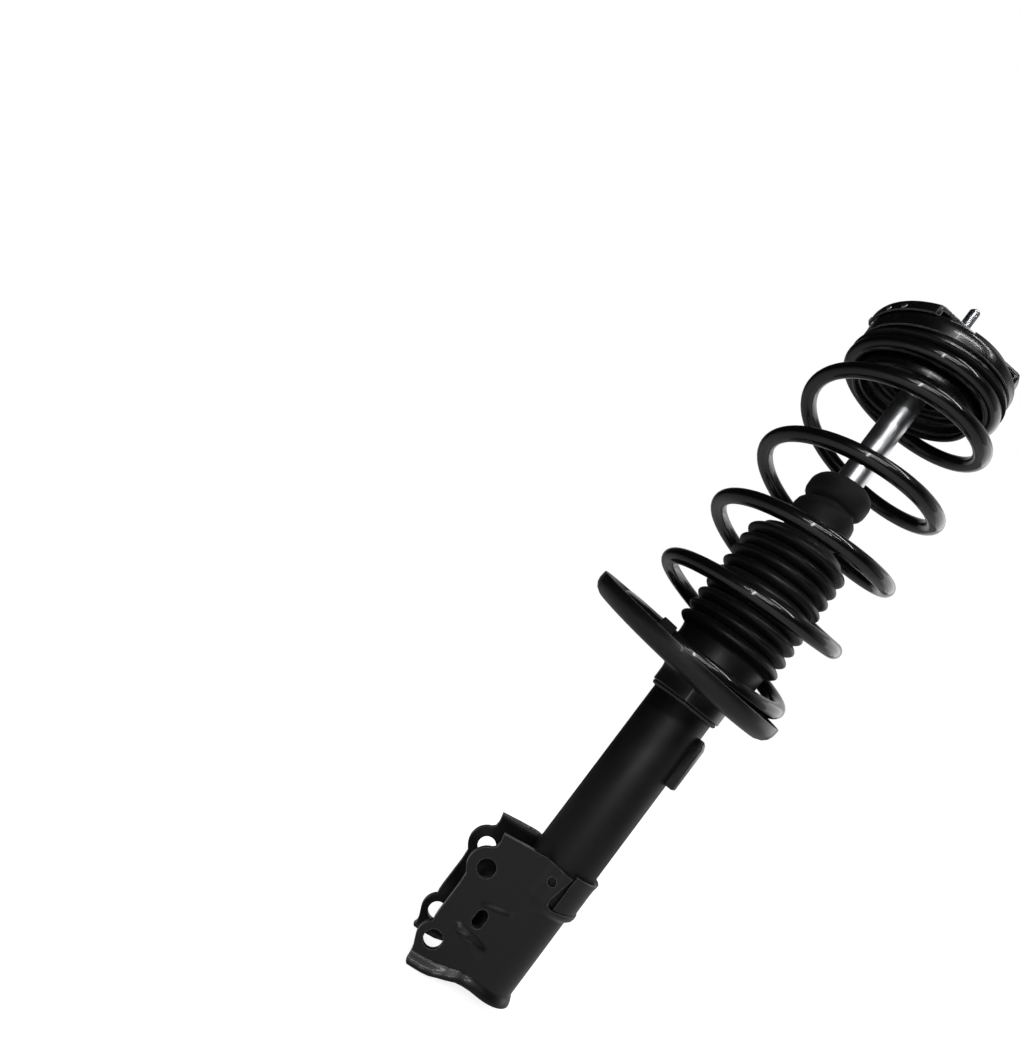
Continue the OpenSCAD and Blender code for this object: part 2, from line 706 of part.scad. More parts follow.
module knuckle_bracket() {
    foot_flare = 3.5;
    reach = 60;
    color([0.09, 0.09, 0.095]) difference() {
        union() {
            difference() {
                rotate_extrude() polygon([
                    [0, barrel_top], [band_r, barrel_top], [band_r, neck_bottom - bracket_t],
                    [barrel_r, neck_bottom - bracket_t],
                    [barrel_r, barrel_bottom + 5], [barrel_r + foot_flare, barrel_bottom],
                    [barrel_r + foot_flare, barrel_bottom - 3], [0, barrel_bottom - 3]]);
                translate([barrel_edge_x + 2 - reach, -reach / 2, barrel_bottom - 10])
                    cube([reach, reach, neck_bottom - barrel_bottom + 10]);
                translate([band_edge_x + 3 - reach, -reach / 2, neck_bottom - bracket_t - 1])
                    cube([reach, reach, barrel_top - neck_bottom + bracket_t + 2]);
                sector(-85, 85, band_r + 1, band_bottom, barrel_top + 1);
            }
            ear();
            mirror([0, 1, 0]) ear();
        }
        rotate_extrude() polygon([
            [0, ear_top + 10], [tube_r, ear_top + 10], [tube_r, neck_bottom], [neck_out_r, neck_bottom],
            [neck_out_r, barrel_bottom + 2], [barrel_r, barrel_bottom - 4], [0, barrel_bottom - 4]]);
    }
}

module bracket_collar() {
    collar_t = bracket_t - 1;
    color([0.1, 0.1, 0.105]) intersection() {
        ring(tube_r + collar_t, tube_r, band_bottom, barrel_top + 3);
        sector(-80, 80, band_r + 1, band_bottom, barrel_top + 3);
    }
}

module bracket_strap() {
    strap_t = 3;
    color([0.09, 0.09, 0.095]) {
        intersection() {
            ring(neck_out_r + strap_t, neck_out_r, lower_bolt_z + 12, neck_bottom - 1);
            translate([-50, -ear_in, lower_bolt_z]) cube([50 + barrel_edge_x, 2 * ear_in, 120]);
        }
    }
}

module bracket_welds() {
    bead = 2.2;
    color([0.14, 0.14, 0.14]) for (side = [-1, 1]) for (z = [barrel_top - 8, band_bottom])
        rotate([0, 0, 129 * side]) translate([band_r, 0, z]) sphere(r = bead, $fn = 24);
}

module hose_tab() {
    width = 12;
    root = sqrt(tube_r * tube_r - width * width / 4);
    color([0.1, 0.1, 0.105]) rotate([0, 0, tab_dir]) difference() {
        translate([root, -width / 2, -tab_drop - tab_len]) cube([tube_r + tab_h - root, width, tab_len]);
        translate([root - 1, -width / 2 + tab_t, -tab_drop - tab_len - 1])
            cube([tube_r + tab_h - tab_t - root + 1, width - 2 * tab_t, tab_len + 2]);
        translate([0, 0, -tab_drop - tab_len - 1]) cylinder(r = tube_r, h = tab_len + 2);
    }
}

mount_plate();
mount_studs();
mount_housing();
plate_rivets();
mount_rubber();
inner_sleeve();
rod_washer();
rod_nut();
striker_cup();
bearing_upper_race();
bearing_balls();
bearing_lower_race();
upper_spring_seat();
upper_spring_pad();
coil_spring();
piston_rod();
rebound_stop();
piston();
piston_band();
valve_discs();
piston_nut();
strut_tube();
tube_end_cap();
pressure_cylinder();
base_valve();
rod_guide();
rod_seal();
tube_cap();
dust_boot();
bump_stop();
lower_spring_seat();
lower_spring_pad();
seat_weld();
knuckle_bracket();
bracket_strap();
bracket_collar();
bracket_welds();
hose_tab();
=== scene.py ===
import math
import bpy
from mathutils import Matrix, Vector


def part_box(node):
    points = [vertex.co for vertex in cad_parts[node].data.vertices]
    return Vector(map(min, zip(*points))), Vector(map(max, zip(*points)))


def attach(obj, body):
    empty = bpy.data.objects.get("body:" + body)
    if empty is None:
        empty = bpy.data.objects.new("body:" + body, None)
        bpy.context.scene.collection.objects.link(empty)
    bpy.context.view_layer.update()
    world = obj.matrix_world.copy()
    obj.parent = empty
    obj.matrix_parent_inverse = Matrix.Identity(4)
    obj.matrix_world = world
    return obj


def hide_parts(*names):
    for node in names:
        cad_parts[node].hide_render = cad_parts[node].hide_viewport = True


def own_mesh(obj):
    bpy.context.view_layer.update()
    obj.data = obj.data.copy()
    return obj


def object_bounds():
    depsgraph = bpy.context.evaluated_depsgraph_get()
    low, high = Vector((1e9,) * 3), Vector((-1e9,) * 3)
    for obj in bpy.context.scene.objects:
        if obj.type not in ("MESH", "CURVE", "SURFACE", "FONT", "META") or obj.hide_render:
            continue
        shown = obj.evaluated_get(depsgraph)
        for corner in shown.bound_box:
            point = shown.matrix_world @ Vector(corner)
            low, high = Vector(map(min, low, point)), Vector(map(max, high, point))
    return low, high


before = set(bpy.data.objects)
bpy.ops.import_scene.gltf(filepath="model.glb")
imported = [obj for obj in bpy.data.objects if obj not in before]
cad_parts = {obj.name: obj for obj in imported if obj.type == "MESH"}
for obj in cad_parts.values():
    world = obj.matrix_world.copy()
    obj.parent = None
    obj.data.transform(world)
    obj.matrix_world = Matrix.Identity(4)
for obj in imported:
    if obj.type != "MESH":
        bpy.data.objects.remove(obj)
cad_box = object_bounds()

MM = 0.001
MERGE = 0.001  # vertices closer than this, in millimetres, become one
FULL_TURN = 2 * math.pi


# ---------------------------------------------------------------- bench tools

def deselect():
    bpy.ops.object.select_all(action="DESELECT")


def activate(piece):
    deselect()
    piece.select_set(True)
    bpy.context.view_layer.objects.active = piece


def named(name):
    piece = bpy.context.object
    piece.name = name
    piece.data.name = name
    return piece


def put_away(piece):
    activate(piece)
    bpy.ops.object.delete()


def pick(piece, test):
    """In edit mode, selects the vertices whose place in millimetres passes a test."""
    bpy.ops.mesh.select_mode(type="VERT")
    bpy.ops.mesh.select_all(action="DESELECT")
    bpy.ops.object.mode_set(mode="OBJECT")
    for v in piece.data.vertices:
        v.select = test(v.co / MM)
    bpy.ops.object.mode_set(mode="EDIT")


def tidy(piece):
    """Merges doubles, turns the faces outward and leaves the piece at the origin."""
    activate(piece)
    bpy.ops.object.transform_apply(location=True, rotation=True, scale=True)
    bpy.ops.object.mode_set(mode="EDIT")
    bpy.ops.mesh.select_all(action="SELECT")
    bpy.ops.mesh.remove_doubles(threshold=MERGE * MM)
    bpy.ops.mesh.normals_make_consistent(inside=False)
    bpy.ops.object.mode_set(mode="OBJECT")
    return piece


def modify(piece, kind, **settings):
    activate(piece)
    bpy.ops.object.modifier_add(type=kind)
    modifier = piece.modifiers[-1]
    for key, value in settings.items():
        setattr(modifier, key, value)
    bpy.ops.object.modifier_apply(modifier=modifier.name)


def bevelled(piece, width, segments, angle):
    modify(piece, "BEVEL", width=width * MM, segments=segments, limit_method="ANGLE",
           angle_limit=math.radians(angle), harden_normals=False)


def smoothed(piece, angle):
    activate(piece)
    bpy.ops.object.shade_smooth_by_angle(angle=math.radians(angle))
    return piece


def combine(piece, tool, operation):
    """Cuts, joins or trims a piece with a tool, and puts the tool away."""
    modify(piece, "BOOLEAN", object=tool, operation=operation, solver="EXACT")
    put_away(tool)


def joined(name, parts):
    deselect()
    for part in parts:
        part.select_set(True)
    bpy.context.view_layer.objects.active = parts[0]
    bpy.ops.object.join()
    return named(name)


def copied(piece, turn, move=(0, 0, 0)):
    """A copy with its own mesh, moved and then turned about the strut's axis."""
    activate(piece)
    bpy.ops.object.duplicate()
    twin = bpy.context.object
    twin.matrix_world = (Matrix.Rotation(math.radians(turn), 4, "Z")
                         @ Matrix.Translation(Vector(move) * MM))
    bpy.ops.object.transform_apply(location=True, rotation=True, scale=True)
    return twin


def turned(name, profile, sides=96):
    """A closed ring of edges drawn out along (radius, height) stations, as on a lathe."""
    deselect()
    radius, height = profile[0]
    bpy.ops.mesh.primitive_circle_add(vertices=sides, radius=radius * MM, location=(0, 0, 0))
    piece = named(name)
    bpy.ops.object.mode_set(mode="EDIT")
    bpy.ops.mesh.select_mode(type="EDGE")
    bpy.ops.mesh.select_all(action="SELECT")
    bpy.ops.transform.translate(value=(0, 0, height * MM))
    for (r0, z0), (r1, z1) in zip(profile, profile[1:] + profile[:1]):
        bpy.ops.mesh.extrude_edges_move(TRANSFORM_OT_translate={"value": (0, 0, (z1 - z0) * MM)})
        bpy.ops.transform.resize(value=(r1 / r0, r1 / r0, 1), center_override=(0, 0, z1 * MM))
    bpy.ops.object.mode_set(mode="OBJECT")
    return tidy(piece)


def drawn(name, outline, depth):
    """A flat outline of (x, z) points, filled and drawn out along Y from one depth to another."""
    deselect()
    bpy.ops.mesh.primitive_plane_add(size=MM)
    piece = named(name)
    bpy.ops.object.mode_set(mode="EDIT")
    bpy.ops.mesh.select_mode(type="VERT")
    bpy.ops.mesh.select_all(action="SELECT")
    bpy.ops.mesh.merge(type="CENTER")
    x, z = outline[0]
    bpy.ops.transform.translate(value=(x * MM, depth[0] * MM, z * MM))
    for (x0, z0), (x1, z1) in zip(outline, outline[1:]):
        bpy.ops.mesh.extrude_vertices_move(
            TRANSFORM_OT_translate={"value": ((x1 - x0) * MM, 0, (z1 - z0) * MM)})
    bpy.ops.mesh.select_all(action="SELECT")
    bpy.ops.mesh.edge_face_add()
    bpy.ops.mesh.extrude_region_move(
        TRANSFORM_OT_translate={"value": (0, (depth[1] - depth[0]) * MM, 0)})
    bpy.ops.object.mode_set(mode="OBJECT")
    return tidy(piece)


def rod_shape(name, radius, start, end, sides=48):
    """A plain round bar between two points, in millimetres: a tool for cutting holes."""
    deselect()
    start, end = Vector(start), Vector(end)
    along = end - start
    bpy.ops.mesh.primitive_cylinder_add(vertices=sides, radius=radius * MM, depth=along.length * MM,
                                        location=(start + end) / 2 * MM,
                                        rotation=along.to_track_quat("Z", "Y").to_euler())
    return tidy(named(name))


def arc(centre, radius, start, end, steps):
    return [(centre[0] + radius * math.cos(math.radians(start + (end - start) * k / steps)),
             centre[1] + radius * math.sin(math.radians(start + (end - start) * k / steps)))
            for k in range(steps + 1)]


def clamp01(t):
    return max(0.0, min(1.0, t))


def ease(t):
    t = clamp01(t)
    return t * t * (3 - 2 * t)


def mix(a, b, t):
    return a + (b - a) * t


# ---------------------------------------------------------------- camera

EYE = (-0.1832, -0.5714, -0.3628)
EYE_RIGHT = Vector((0.78695, -0.0308, 0.61624))
EYE_DOWN = Vector((0.61686, 0.06109, -0.7847))
EYE_AHEAD = Vector((-0.01348, 0.99766, 0.06707))
SENSOR = 36
FOCAL_LENGTH, PICTURE_HEIGHT = 734.5, 1050  # both in the same unit: only their ratio counts


def aim_camera():
    bpy.ops.object.camera_add(location=EYE)
    camera = bpy.context.object
    camera.name = "workshop_camera"
    place = Matrix((EYE_RIGHT, -EYE_DOWN, -EYE_AHEAD)).transposed().to_4x4()
    place.translation = camera.location
    camera.matrix_world = place
    camera.data.sensor_width = SENSOR
    camera.data.sensor_fit = "AUTO"
    camera.data.lens = SENSOR * FOCAL_LENGTH / PICTURE_HEIGHT
    camera.data.clip_start = 0.01
    camera.data.clip_end = 50
    bpy.context.scene.camera = camera


aim_camera()


# ---------------------------------------------------------------- finishes

def place_node(tree, kind, **settings):
    node = tree.nodes.new(kind)
    for key, value in settings.items():
        socket = node.inputs.get(key.replace("_", " "))
        if socket is not None:
            socket.default_value = value
        else:
            setattr(node, key, value)
    return node


def wire(tree, source, output, target, entry):
    tree.links.new(source.outputs[output], target.inputs[entry])


def new_group(name, entries, exits):
    group = bpy.data.node_groups.new(name, "ShaderNodeTree")
    for label, kind, value in entries:
        socket = group.interface.new_socket(label, in_out="INPUT", socket_type=kind)
        if value is not None:
            socket.default_value = value
    for label, kind in exits:
        group.interface.new_socket(label, in_out="OUTPUT", socket_type=kind)
    return group, group.nodes.new("NodeGroupInput"), group.nodes.new("NodeGroupOutput")


def maths(tree, operation, first, second=None, clamp=False):
    """A Math node fed by numbers or by (node, output) pairs."""
    node = tree.nodes.new("ShaderNodeMath")
    node.operation = operation
    node.use_clamp = clamp
    for slot_index, value in enumerate((first, second)):
        if value is None:
            continue
        if isinstance(value, tuple):
            wire(tree, *value, node, slot_index)
        else:
            node.inputs[slot_index].default_value = value
    return node


def make_skin(name, scale, detail, roughness, height, patch_scale, patch_detail):
    """The ripple or grain of a surface, with broad patches for its colour and gloss."""
    group, into, out = new_group(
        name,
        [("Scale", "NodeSocketFloat", scale), ("Depth", "NodeSocketFloat", 0.5)],
        [("Normal", "NodeSocketVector"), ("Patches", "NodeSocketFloat")])
    where = group.nodes.new("ShaderNodeTexCoord")
    grain = place_node(group, "ShaderNodeTexNoise", Detail=detail, Roughness=roughness)
    wire(group, where, "Object", grain, "Vector")
    wire(group, into, "Scale", grain, "Scale")
    bump = place_node(group, "ShaderNodeBump", Distance=height)
    wire(group, into, "Depth", bump, "Strength")
    wire(group, grain, "Fac", bump, "Height")
    patches = place_node(group, "ShaderNodeTexNoise", Scale=patch_scale, Detail=patch_detail,
                         Roughness=0.6)
    wire(group, where, "Object", patches, "Vector")
    wire(group, bump, "Normal", out, "Normal")
    wire(group, patches, "Fac", out, "Patches")
    return group


def make_edge_wear_and_painted_highlight():
    """Where corners are worn and catch painted highlights: the difference between the rounded and the real
    normal, broken up.
    """
    group, into, out = new_group(
        "edge_wear_and_painted_highlight",
        [("Width", "NodeSocketFloat", 0.0006), ("Amount", "NodeSocketFloat", 1.0)],
        [("Mask", "NodeSocketFloat")])
    round_off = place_node(group, "ShaderNodeBevel", samples=6)
    wire(group, into, "Width", round_off, "Radius")
    plain = group.nodes.new("ShaderNodeNewGeometry")
    across = place_node(group, "ShaderNodeVectorMath", operation="DOT_PRODUCT")
    wire(group, round_off, "Normal", across, 0)
    wire(group, plain, "Normal", across, 1)
    corner = maths(group, "SUBTRACT", 1.0, (across, "Value"))
    where = group.nodes.new("ShaderNodeTexCoord")
    broken_edge_noise = place_node(group, "ShaderNodeTexNoise", Scale=140.0, Detail=6.0, Roughness=0.7)
    wire(group, where, "Object", broken_edge_noise, "Vector")
    ragged = maths(group, "MULTIPLY", (corner, 0), (broken_edge_noise, "Fac"))
    strong = maths(group, "MULTIPLY", (ragged, 0), 6.0)
    scaled = maths(group, "MULTIPLY", (strong, 0), (into, "Amount"), clamp=True)
    wire(group, scaled, 0, out, "Mask")
    return group


def make_dust():
    """Fine pale dust that settles on what faces up."""
    group, into, out = new_group(
        "settled_dust",
        [("Amount", "NodeSocketFloat", 0.2)],
        [("Mask", "NodeSocketFloat")])
    facing = group.nodes.new("ShaderNodeNewGeometry")
    split = group.nodes.new("ShaderNodeSeparateXYZ")
    wire(group, facing, "Normal", split, 0)
    upward = maths(group, "MULTIPLY", (split, "Z"), 0.7, clamp=True)
    where = group.nodes.new("ShaderNodeTexCoord")
    specks = place_node(group, "ShaderNodeTexNoise", Scale=420.0, Detail=6.0, Roughness=0.75)
    wire(group, where, "Object", specks, "Vector")
    spread = maths(group, "MULTIPLY", (upward, 0), (specks, "Fac"))
    scaled = maths(group, "MULTIPLY", (spread, 0), (into, "Amount"), clamp=True)
    wire(group, scaled, 0, out, "Mask")
    return group


def make_turning_lines():
    """Fine rings round the strut's axis, as grinding and turning leave them."""
    group, into, out = new_group(
        "turning_lines",
        [("Pitch", "NodeSocketFloat", 2500.0), ("Depth", "NodeSocketFloat", 0.2)],
        [("Normal", "NodeSocketVector"), ("Lines", "NodeSocketFloat")])
    where = group.nodes.new("ShaderNodeTexCoord")
    stretch = place_node(group, "ShaderNodeVectorMath", operation="MULTIPLY")
    wire(group, where, "Object", stretch, 0)
    squeeze = group.nodes.new("ShaderNodeCombineXYZ")
    for sideways in "XY":
        squeeze.inputs[sideways].default_value = 12.0
    wire(group, into, "Pitch", squeeze, "Z")
    wire(group, squeeze, 0, stretch, 1)
    lines = place_node(group, "ShaderNodeTexNoise", Scale=1.0, Detail=4.0, Roughness=0.6)
    wire(group, stretch, 0, lines, "Vector")
    bump = place_node(group, "ShaderNodeBump", Distance=0.00005)
    wire(group, into, "Depth", bump, "Strength")
    wire(group, lines, "Fac", bump, "Height")
    wire(group, bump, "Normal", out, "Normal")
    wire(group, lines, "Fac", out, "Lines")
    return group


# the soft ripple of sprayed paint
ORANGE_PEEL = make_skin("orange_peel", scale=500.0, detail=2.0, roughness=0.5, height=0.0003,
                        patch_scale=38.0, patch_detail=5.0)
EDGE_WEAR_AND_PAINTED_HIGHLIGHT = make_edge_wear_and_painted_highlight()
SETTLED_DUST = make_dust()
# the fine grain of rubber, foam, moulded plastic and bare metal
FINE_GRAIN = make_skin("fine_grain", scale=900.0, detail=8.0, roughness=0.7, height=0.0002,
                       patch_scale=60.0, patch_detail=4.0)
TURNING_LINES = make_turning_lines()


def new_material(name):
    material = bpy.data.materials.new(name)
    material.use_nodes = True
    tree = material.node_tree
    shader = tree.nodes["Principled BSDF"]
    return material, tree, shader


def use_group(tree, group, **values):
    node = tree.nodes.new("ShaderNodeGroup")
    node.node_tree = group
    for key, value in values.items():
        node.inputs[key].default_value = value
    return node


COLOUR_LOW, COLOUR_HIGH, COLOUR_OUT = 6, 7, 2  # the Mix node's sockets for colours


def blend_colour(tree, mask, low, high):
    """A colour that goes from low to high with a mask; low may be a (node, output) pair."""
    node = tree.nodes.new("ShaderNodeMix")
    node.data_type = "RGBA"
    wire(tree, *mask, node, "Factor")
    for entry, value in ((COLOUR_LOW, low), (COLOUR_HIGH, high)):
        if isinstance(value[0], bpy.types.Node):
            wire(tree, *value, node, entry)
        else:
            node.inputs[entry].default_value = (*value, 1.0)
    return node, COLOUR_OUT


def ranged(tree, source, low, high, start=0.3, end=0.7):
    """Stretches a value between start and end to run from low to high."""
    node = tree.nodes.new("ShaderNodeMapRange")
    wire(tree, *source, node, "Value")
    node.inputs["From Min"].default_value = start
    node.inputs["From Max"].default_value = end
    node.inputs["To Min"].default_value = low
    node.inputs["To Max"].default_value = high
    return node, 0


def dress(tree, shader, colour, skin, roughness, relief):
    """Gives a shader its colour, the skin's patches as a range of roughness, and a relief's bump."""
    wire(tree, *colour, shader, "Base Color")
    wire(tree, *ranged(tree, (skin, "Patches"), *roughness), shader, "Roughness")
    wire(tree, relief, "Normal", shader, "Normal")


def mottled(tree, skin, shade, low, high):
    """A shade that wanders between a darker and a lighter one with the skin's patches."""
    return blend_colour(tree, (skin, "Patches"), [c * low for c in shade], [c * high for c in shade])


def paint(name, shade, worn_and_highlit_edge_shade, gloss, coat, peel, edge_amount=1.0, dust=0.15, level=0.5):
    """Black paint over steel: peel is (scale, depth), gloss the lowest and highest roughness."""
    material, tree, shader = new_material(name)
    skin = use_group(tree, ORANGE_PEEL, Scale=peel[0], Depth=peel[1])
    rub_and_highlight = use_group(tree, EDGE_WEAR_AND_PAINTED_HIGHLIGHT, Amount=edge_amount)
    dusty = use_group(tree, SETTLED_DUST, Amount=dust)
    body = mottled(tree, skin, shade, 0.75, 1.3)
    # the corners take the edge shade: partly worn paint, partly a painted highlight along the edges
    edged = blend_colour(tree, (rub_and_highlight, "Mask"), body, worn_and_highlit_edge_shade)
    powdered = blend_colour(tree, (dusty, "Mask"), edged, DUST_ON_PAINT)
    dress(tree, shader, powdered, skin, gloss, skin)
    shader.inputs["Coat Weight"].default_value = coat
    shader.inputs["Coat Roughness"].default_value = 0.06
    shader.inputs["Specular IOR Level"].default_value = level
    return material


def soft(name, shade, roughness, grain, sheen=0.0, dust=0.3):
    """Rubber, foam and moulded plastic: grain is (scale, depth)."""
    material, tree, shader = new_material(name)
    skin = use_group(tree, FINE_GRAIN, Scale=grain[0], Depth=grain[1])
    dusty = use_group(tree, SETTLED_DUST, Amount=dust)
    body = mottled(tree, skin, shade, 0.7, 1.35)
    powdered = blend_colour(tree, (dusty, "Mask"), body, DUST_ON_RUBBER)
    dress(tree, shader, powdered, skin, roughness, skin)
    shader.inputs["Sheen Weight"].default_value = sheen
    shader.inputs["Sheen Roughness"].default_value = 0.5
    shader.inputs["Specular IOR Level"].default_value = 0.3
    return material


def metal(name, shade, stain, roughness, lines=None, grain=(400, 0.1)):
    """Bare, plated or ground metal: lines is (pitch, depth), and stained patches are rougher."""
    material, tree, shader = new_material(name)
    skin = use_group(tree, FINE_GRAIN, Scale=grain[0], Depth=grain[1])
    body = blend_colour(tree, ranged(tree, (skin, "Patches"), 0.0, 1.0), stain, shade)
    rings = use_group(tree, TURNING_LINES, Pitch=lines[0], Depth=lines[1]) if lines else skin
    dress(tree, shader, body, skin, reversed(roughness), rings)
    shader.inputs["Metallic"].default_value = 1.0
    return material


DUST_ON_PAINT = (0.16, 0.155, 0.15)
DUST_ON_RUBBER = (0.12, 0.118, 0.115)

# black_paint's light edge shade and strong edge amount paint highlights along the edges as well as worn
# paint
BLACK_PAINT = paint(
    "black_paint", (0.0045, 0.0045, 0.0048), (0.17, 0.17, 0.175), gloss=(0.28, 0.40), coat=0.12,
    peel=(420.0, 0.10), edge_amount=2.2, dust=0.08, level=0.35)
TUBE_PAINT = paint(
    "tube_paint", (0.004, 0.004, 0.0043), (0.05, 0.05, 0.052), gloss=(0.44, 0.56), coat=0.0,
    peel=(500.0, 0.08), dust=0.05, level=0.32)
MOUNT_PAINT = paint(
    "mount_paint", (0.004, 0.004, 0.0043), (0.45, 0.45, 0.46), gloss=(0.20, 0.32), coat=0.2,
    peel=(380.0, 0.10), edge_amount=1.8, dust=0.05)
SPRING_ENAMEL = paint(
    "spring_enamel", (0.0022, 0.0022, 0.0024), (0.02, 0.02, 0.02), gloss=(0.26, 0.36), coat=0.85,
    peel=(260.0, 0.08), edge_amount=0.3, dust=0.03, level=0.15)
WELD_PAINT = paint(
    "weld_paint", (0.012, 0.012, 0.0125), (0.14, 0.14, 0.144), gloss=(0.24, 0.38), coat=0.1,
    peel=(900.0, 0.35))
SEAT_PLASTIC = paint(
    "seat_plastic", (0.003, 0.003, 0.0032), (0.02, 0.02, 0.02), gloss=(0.22, 0.32), coat=0.1,
    peel=(700.0, 0.06), edge_amount=0.4, dust=0.03)
RUBBER = soft(
    "rubber", (0.0042, 0.0042, 0.0044), roughness=(0.34, 0.46), grain=(900.0, 0.12), sheen=0.01, dust=0.06)
PAD_RUBBER = soft(
    "pad_rubber", (0.003, 0.003, 0.003), roughness=(0.8, 0.95), grain=(1100.0, 0.15), dust=0.0)
FOAM = soft(
    "foam", (0.0055, 0.0055, 0.0054), roughness=(0.55, 0.7), grain=(1500.0, 0.35), sheen=0.02, dust=0.08)
HARD_CHROME = metal(
    "hard_chrome", (0.72, 0.73, 0.75), (0.58, 0.59, 0.61), roughness=(0.28, 0.36), lines=(5200.0, 0.2))
ZINC = metal(
    "zinc", (0.72, 0.73, 0.75), (0.5, 0.51, 0.53), roughness=(0.18, 0.36), grain=(700.0, 0.12))
BARE_STEEL = metal(
    "bare_steel", (0.46, 0.46, 0.47), (0.3, 0.29, 0.28), roughness=(0.28, 0.45), lines=(1800.0, 0.2))
SINTERED_IRON = metal(
    "sintered_iron", (0.24, 0.235, 0.23), (0.16, 0.155, 0.15), roughness=(0.5, 0.7), grain=(2200.0, 0.4))
BAND_PLASTIC = soft(
    "band_plastic", (0.10, 0.085, 0.05), roughness=(0.35, 0.45), grain=(600.0, 0.1))


def coat(piece, material):
    piece.data.materials.clear()
    piece.data.materials.append(material)


def fit(piece, body, slot_name, material, *nodes):
    """Gives a finished piece its material and its body, and hides the CAD nodes it stands for; the slot
    name is not used.
    """
    coat(piece, material)
    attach(piece, body)
    if nodes:
        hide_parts(*nodes)


# ---------------------------------------------------------------- upper mount

PAD_BOTTOM = -30.5
PLATE_R = 60
PLATE_SHIFT = 3.5  # how far the plate's outline stands off the axis
SHIFT_BEYOND_R = 41
STUD_CIRCLE = 41
STUD_DIRS = (-109, 11, 131)
SIDES = ((-83, 43), (34, 51), (130, 51))  # direction and distance of each straight side
NUB_DIRS = (-193, -166, -152, -12)
NUB_R = 2.6
NUB_HEIGHT = -6
SHOULDER_R = 46
SHOULDER = (  # height on the housing, and its share of the plate's shift
    (-13.8, 0.1), (-12.0, 0.35), (-10.4, 0.6), (-9.0, 0.85), (-7.6, 1), (-6.2, 1), (-5.0, 1), (-4.2, 1))
HOLLOW_R, HOLLOW_REACH = 9.6, 16
POCKET_R = 10.2


def on_circle(radius, direction, height=0):
    a = math.radians(direction)
    return Vector((radius * math.cos(a), radius * math.sin(a), height))


def trim_side(piece, direction, distance):
    """Cuts away what lies beyond an upright plane at that distance from the axis."""
    activate(piece)
    bpy.ops.object.mode_set(mode="EDIT")
    bpy.ops.mesh.select_all(action="SELECT")
    outward = on_circle(1, direction)
    bpy.ops.mesh.bisect(plane_co=outward * distance * MM, plane_no=outward, clear_outer=True,
                        use_fill=True, threshold=0.00001)
    bpy.ops.object.mode_set(mode="OBJECT")
    return tidy(piece)


def make_plate():
    """The three-lobed plate with its turned-down lobes, a pressed ring round the bush and rolled edges."""
    r = PLATE_R
    plate = turned("mount_plate_pressing", [
        (26.2, -2.6), (26.2, -0.6), (27.0, 0), (33, 0), (35.5, -0.9), (38, -0.9), (40, 0),
        (r - 2.2, 0), (r - 0.6, -0.6), (r, -2.2), (r, -7.4), (r - 0.3, -8.5), (r - 1.2, -9),
        (r - 2.2, -8.7), (r - 2.5, -7.8), (r - 2.5, -4), (r - 3.5, -3), (27, -3)], sides=160)
    activate(plate)
    bpy.ops.object.mode_set(mode="EDIT")
    pick(plate, lambda p: math.hypot(p.x, p.y) > SHIFT_BEYOND_R)
    bpy.ops.transform.translate(value=(-PLATE_SHIFT * MM, 0, 0))
    bpy.ops.object.mode_set(mode="OBJECT")
    for direction, distance in SIDES:
        trim_side(plate, direction, distance)
    bevelled(plate, 0.5, 2, 50)
    return smoothed(plate, 30)


fit(make_plate(), "mount", "black_paint", MOUNT_PAINT, "mount_plate")


def make_rivets():
    """Small domed weld nubs on the lobes' turned-down edges."""
    nubs = []
    for direction in NUB_DIRS:
        deselect()
        bpy.ops.mesh.primitive_uv_sphere_add(segments=20, ring_count=12, radius=NUB_R * MM)
        nub = named("nub")
        bpy.ops.object.mode_set(mode="EDIT")
        bpy.ops.mesh.select_all(action="SELECT")
        bpy.ops.transform.resize(value=(0.4, 1, 0.85))
        bpy.ops.object.mode_set(mode="OBJECT")
        rim = on_circle(PLATE_R - 0.05, direction, NUB_HEIGHT)
        nub.location = (rim - Vector((PLATE_SHIFT, 0, 0))) * MM
        nub.rotation_euler.z = math.radians(direction)
        nubs.append(tidy(nub))
    return smoothed(joined("plate_rivet_heads", nubs), 60)


fit(make_rivets(), "mount", "zinc", ZINC, "plate_rivets")


def make_housing():
    """The pressed drum: it flares from under the plate to its foot, scooped out below each stud."""
    drum = turned("mount_housing_drum", [
        (30.2, -21.8), (38.5, -21.8), (38.8, -16.4), (53.8, -16.4), (54.2, -21.8), (59.6, -22),
        (60.5, -21.4), (60.5, -15.6), (60.3, -13.8), (59.6, -12.0), (58.4, -10.4), (57.2, -9.0),
        (56.5, -7.6), (55.4, -6.2), (53.4, -5.0), (50.0, -4.2), (44.5, -3.5), (42.0, -3.1),
        (30.2, -3.1)], sides=160)
    activate(drum)
    bpy.ops.object.mode_set(mode="EDIT")
    for height, share in SHOULDER:
        # the shoulder follows the plate's offset outline
        pick(drum, lambda p: math.hypot(p.x, p.y) > SHOULDER_R and abs(p.z - height) < 0.05)
        bpy.ops.transform.translate(value=(-PLATE_SHIFT * share * MM, 0, 0))
    bpy.ops.object.mode_set(mode="OBJECT")
    for direction in STUD_DIRS:
        hollow = rod_shape("hollow", HOLLOW_R, on_circle(STUD_CIRCLE, direction, -5.0),
                           on_circle(STUD_CIRCLE + HOLLOW_REACH, direction, -10.5))
        combine(drum, hollow, "DIFFERENCE")
        pocket = rod_shape("pocket", POCKET_R, on_circle(STUD_CIRCLE, direction, -1),
                           on_circle(STUD_CIRCLE, direction, -9))
        combine(drum, pocket, "DIFFERENCE")
    bevelled(drum, 0.7, 3, 40)
    return smoothed(tidy(drum), 35)


fit(make_housing(), "mount", "black_paint", MOUNT_PAINT, "mount_housing")


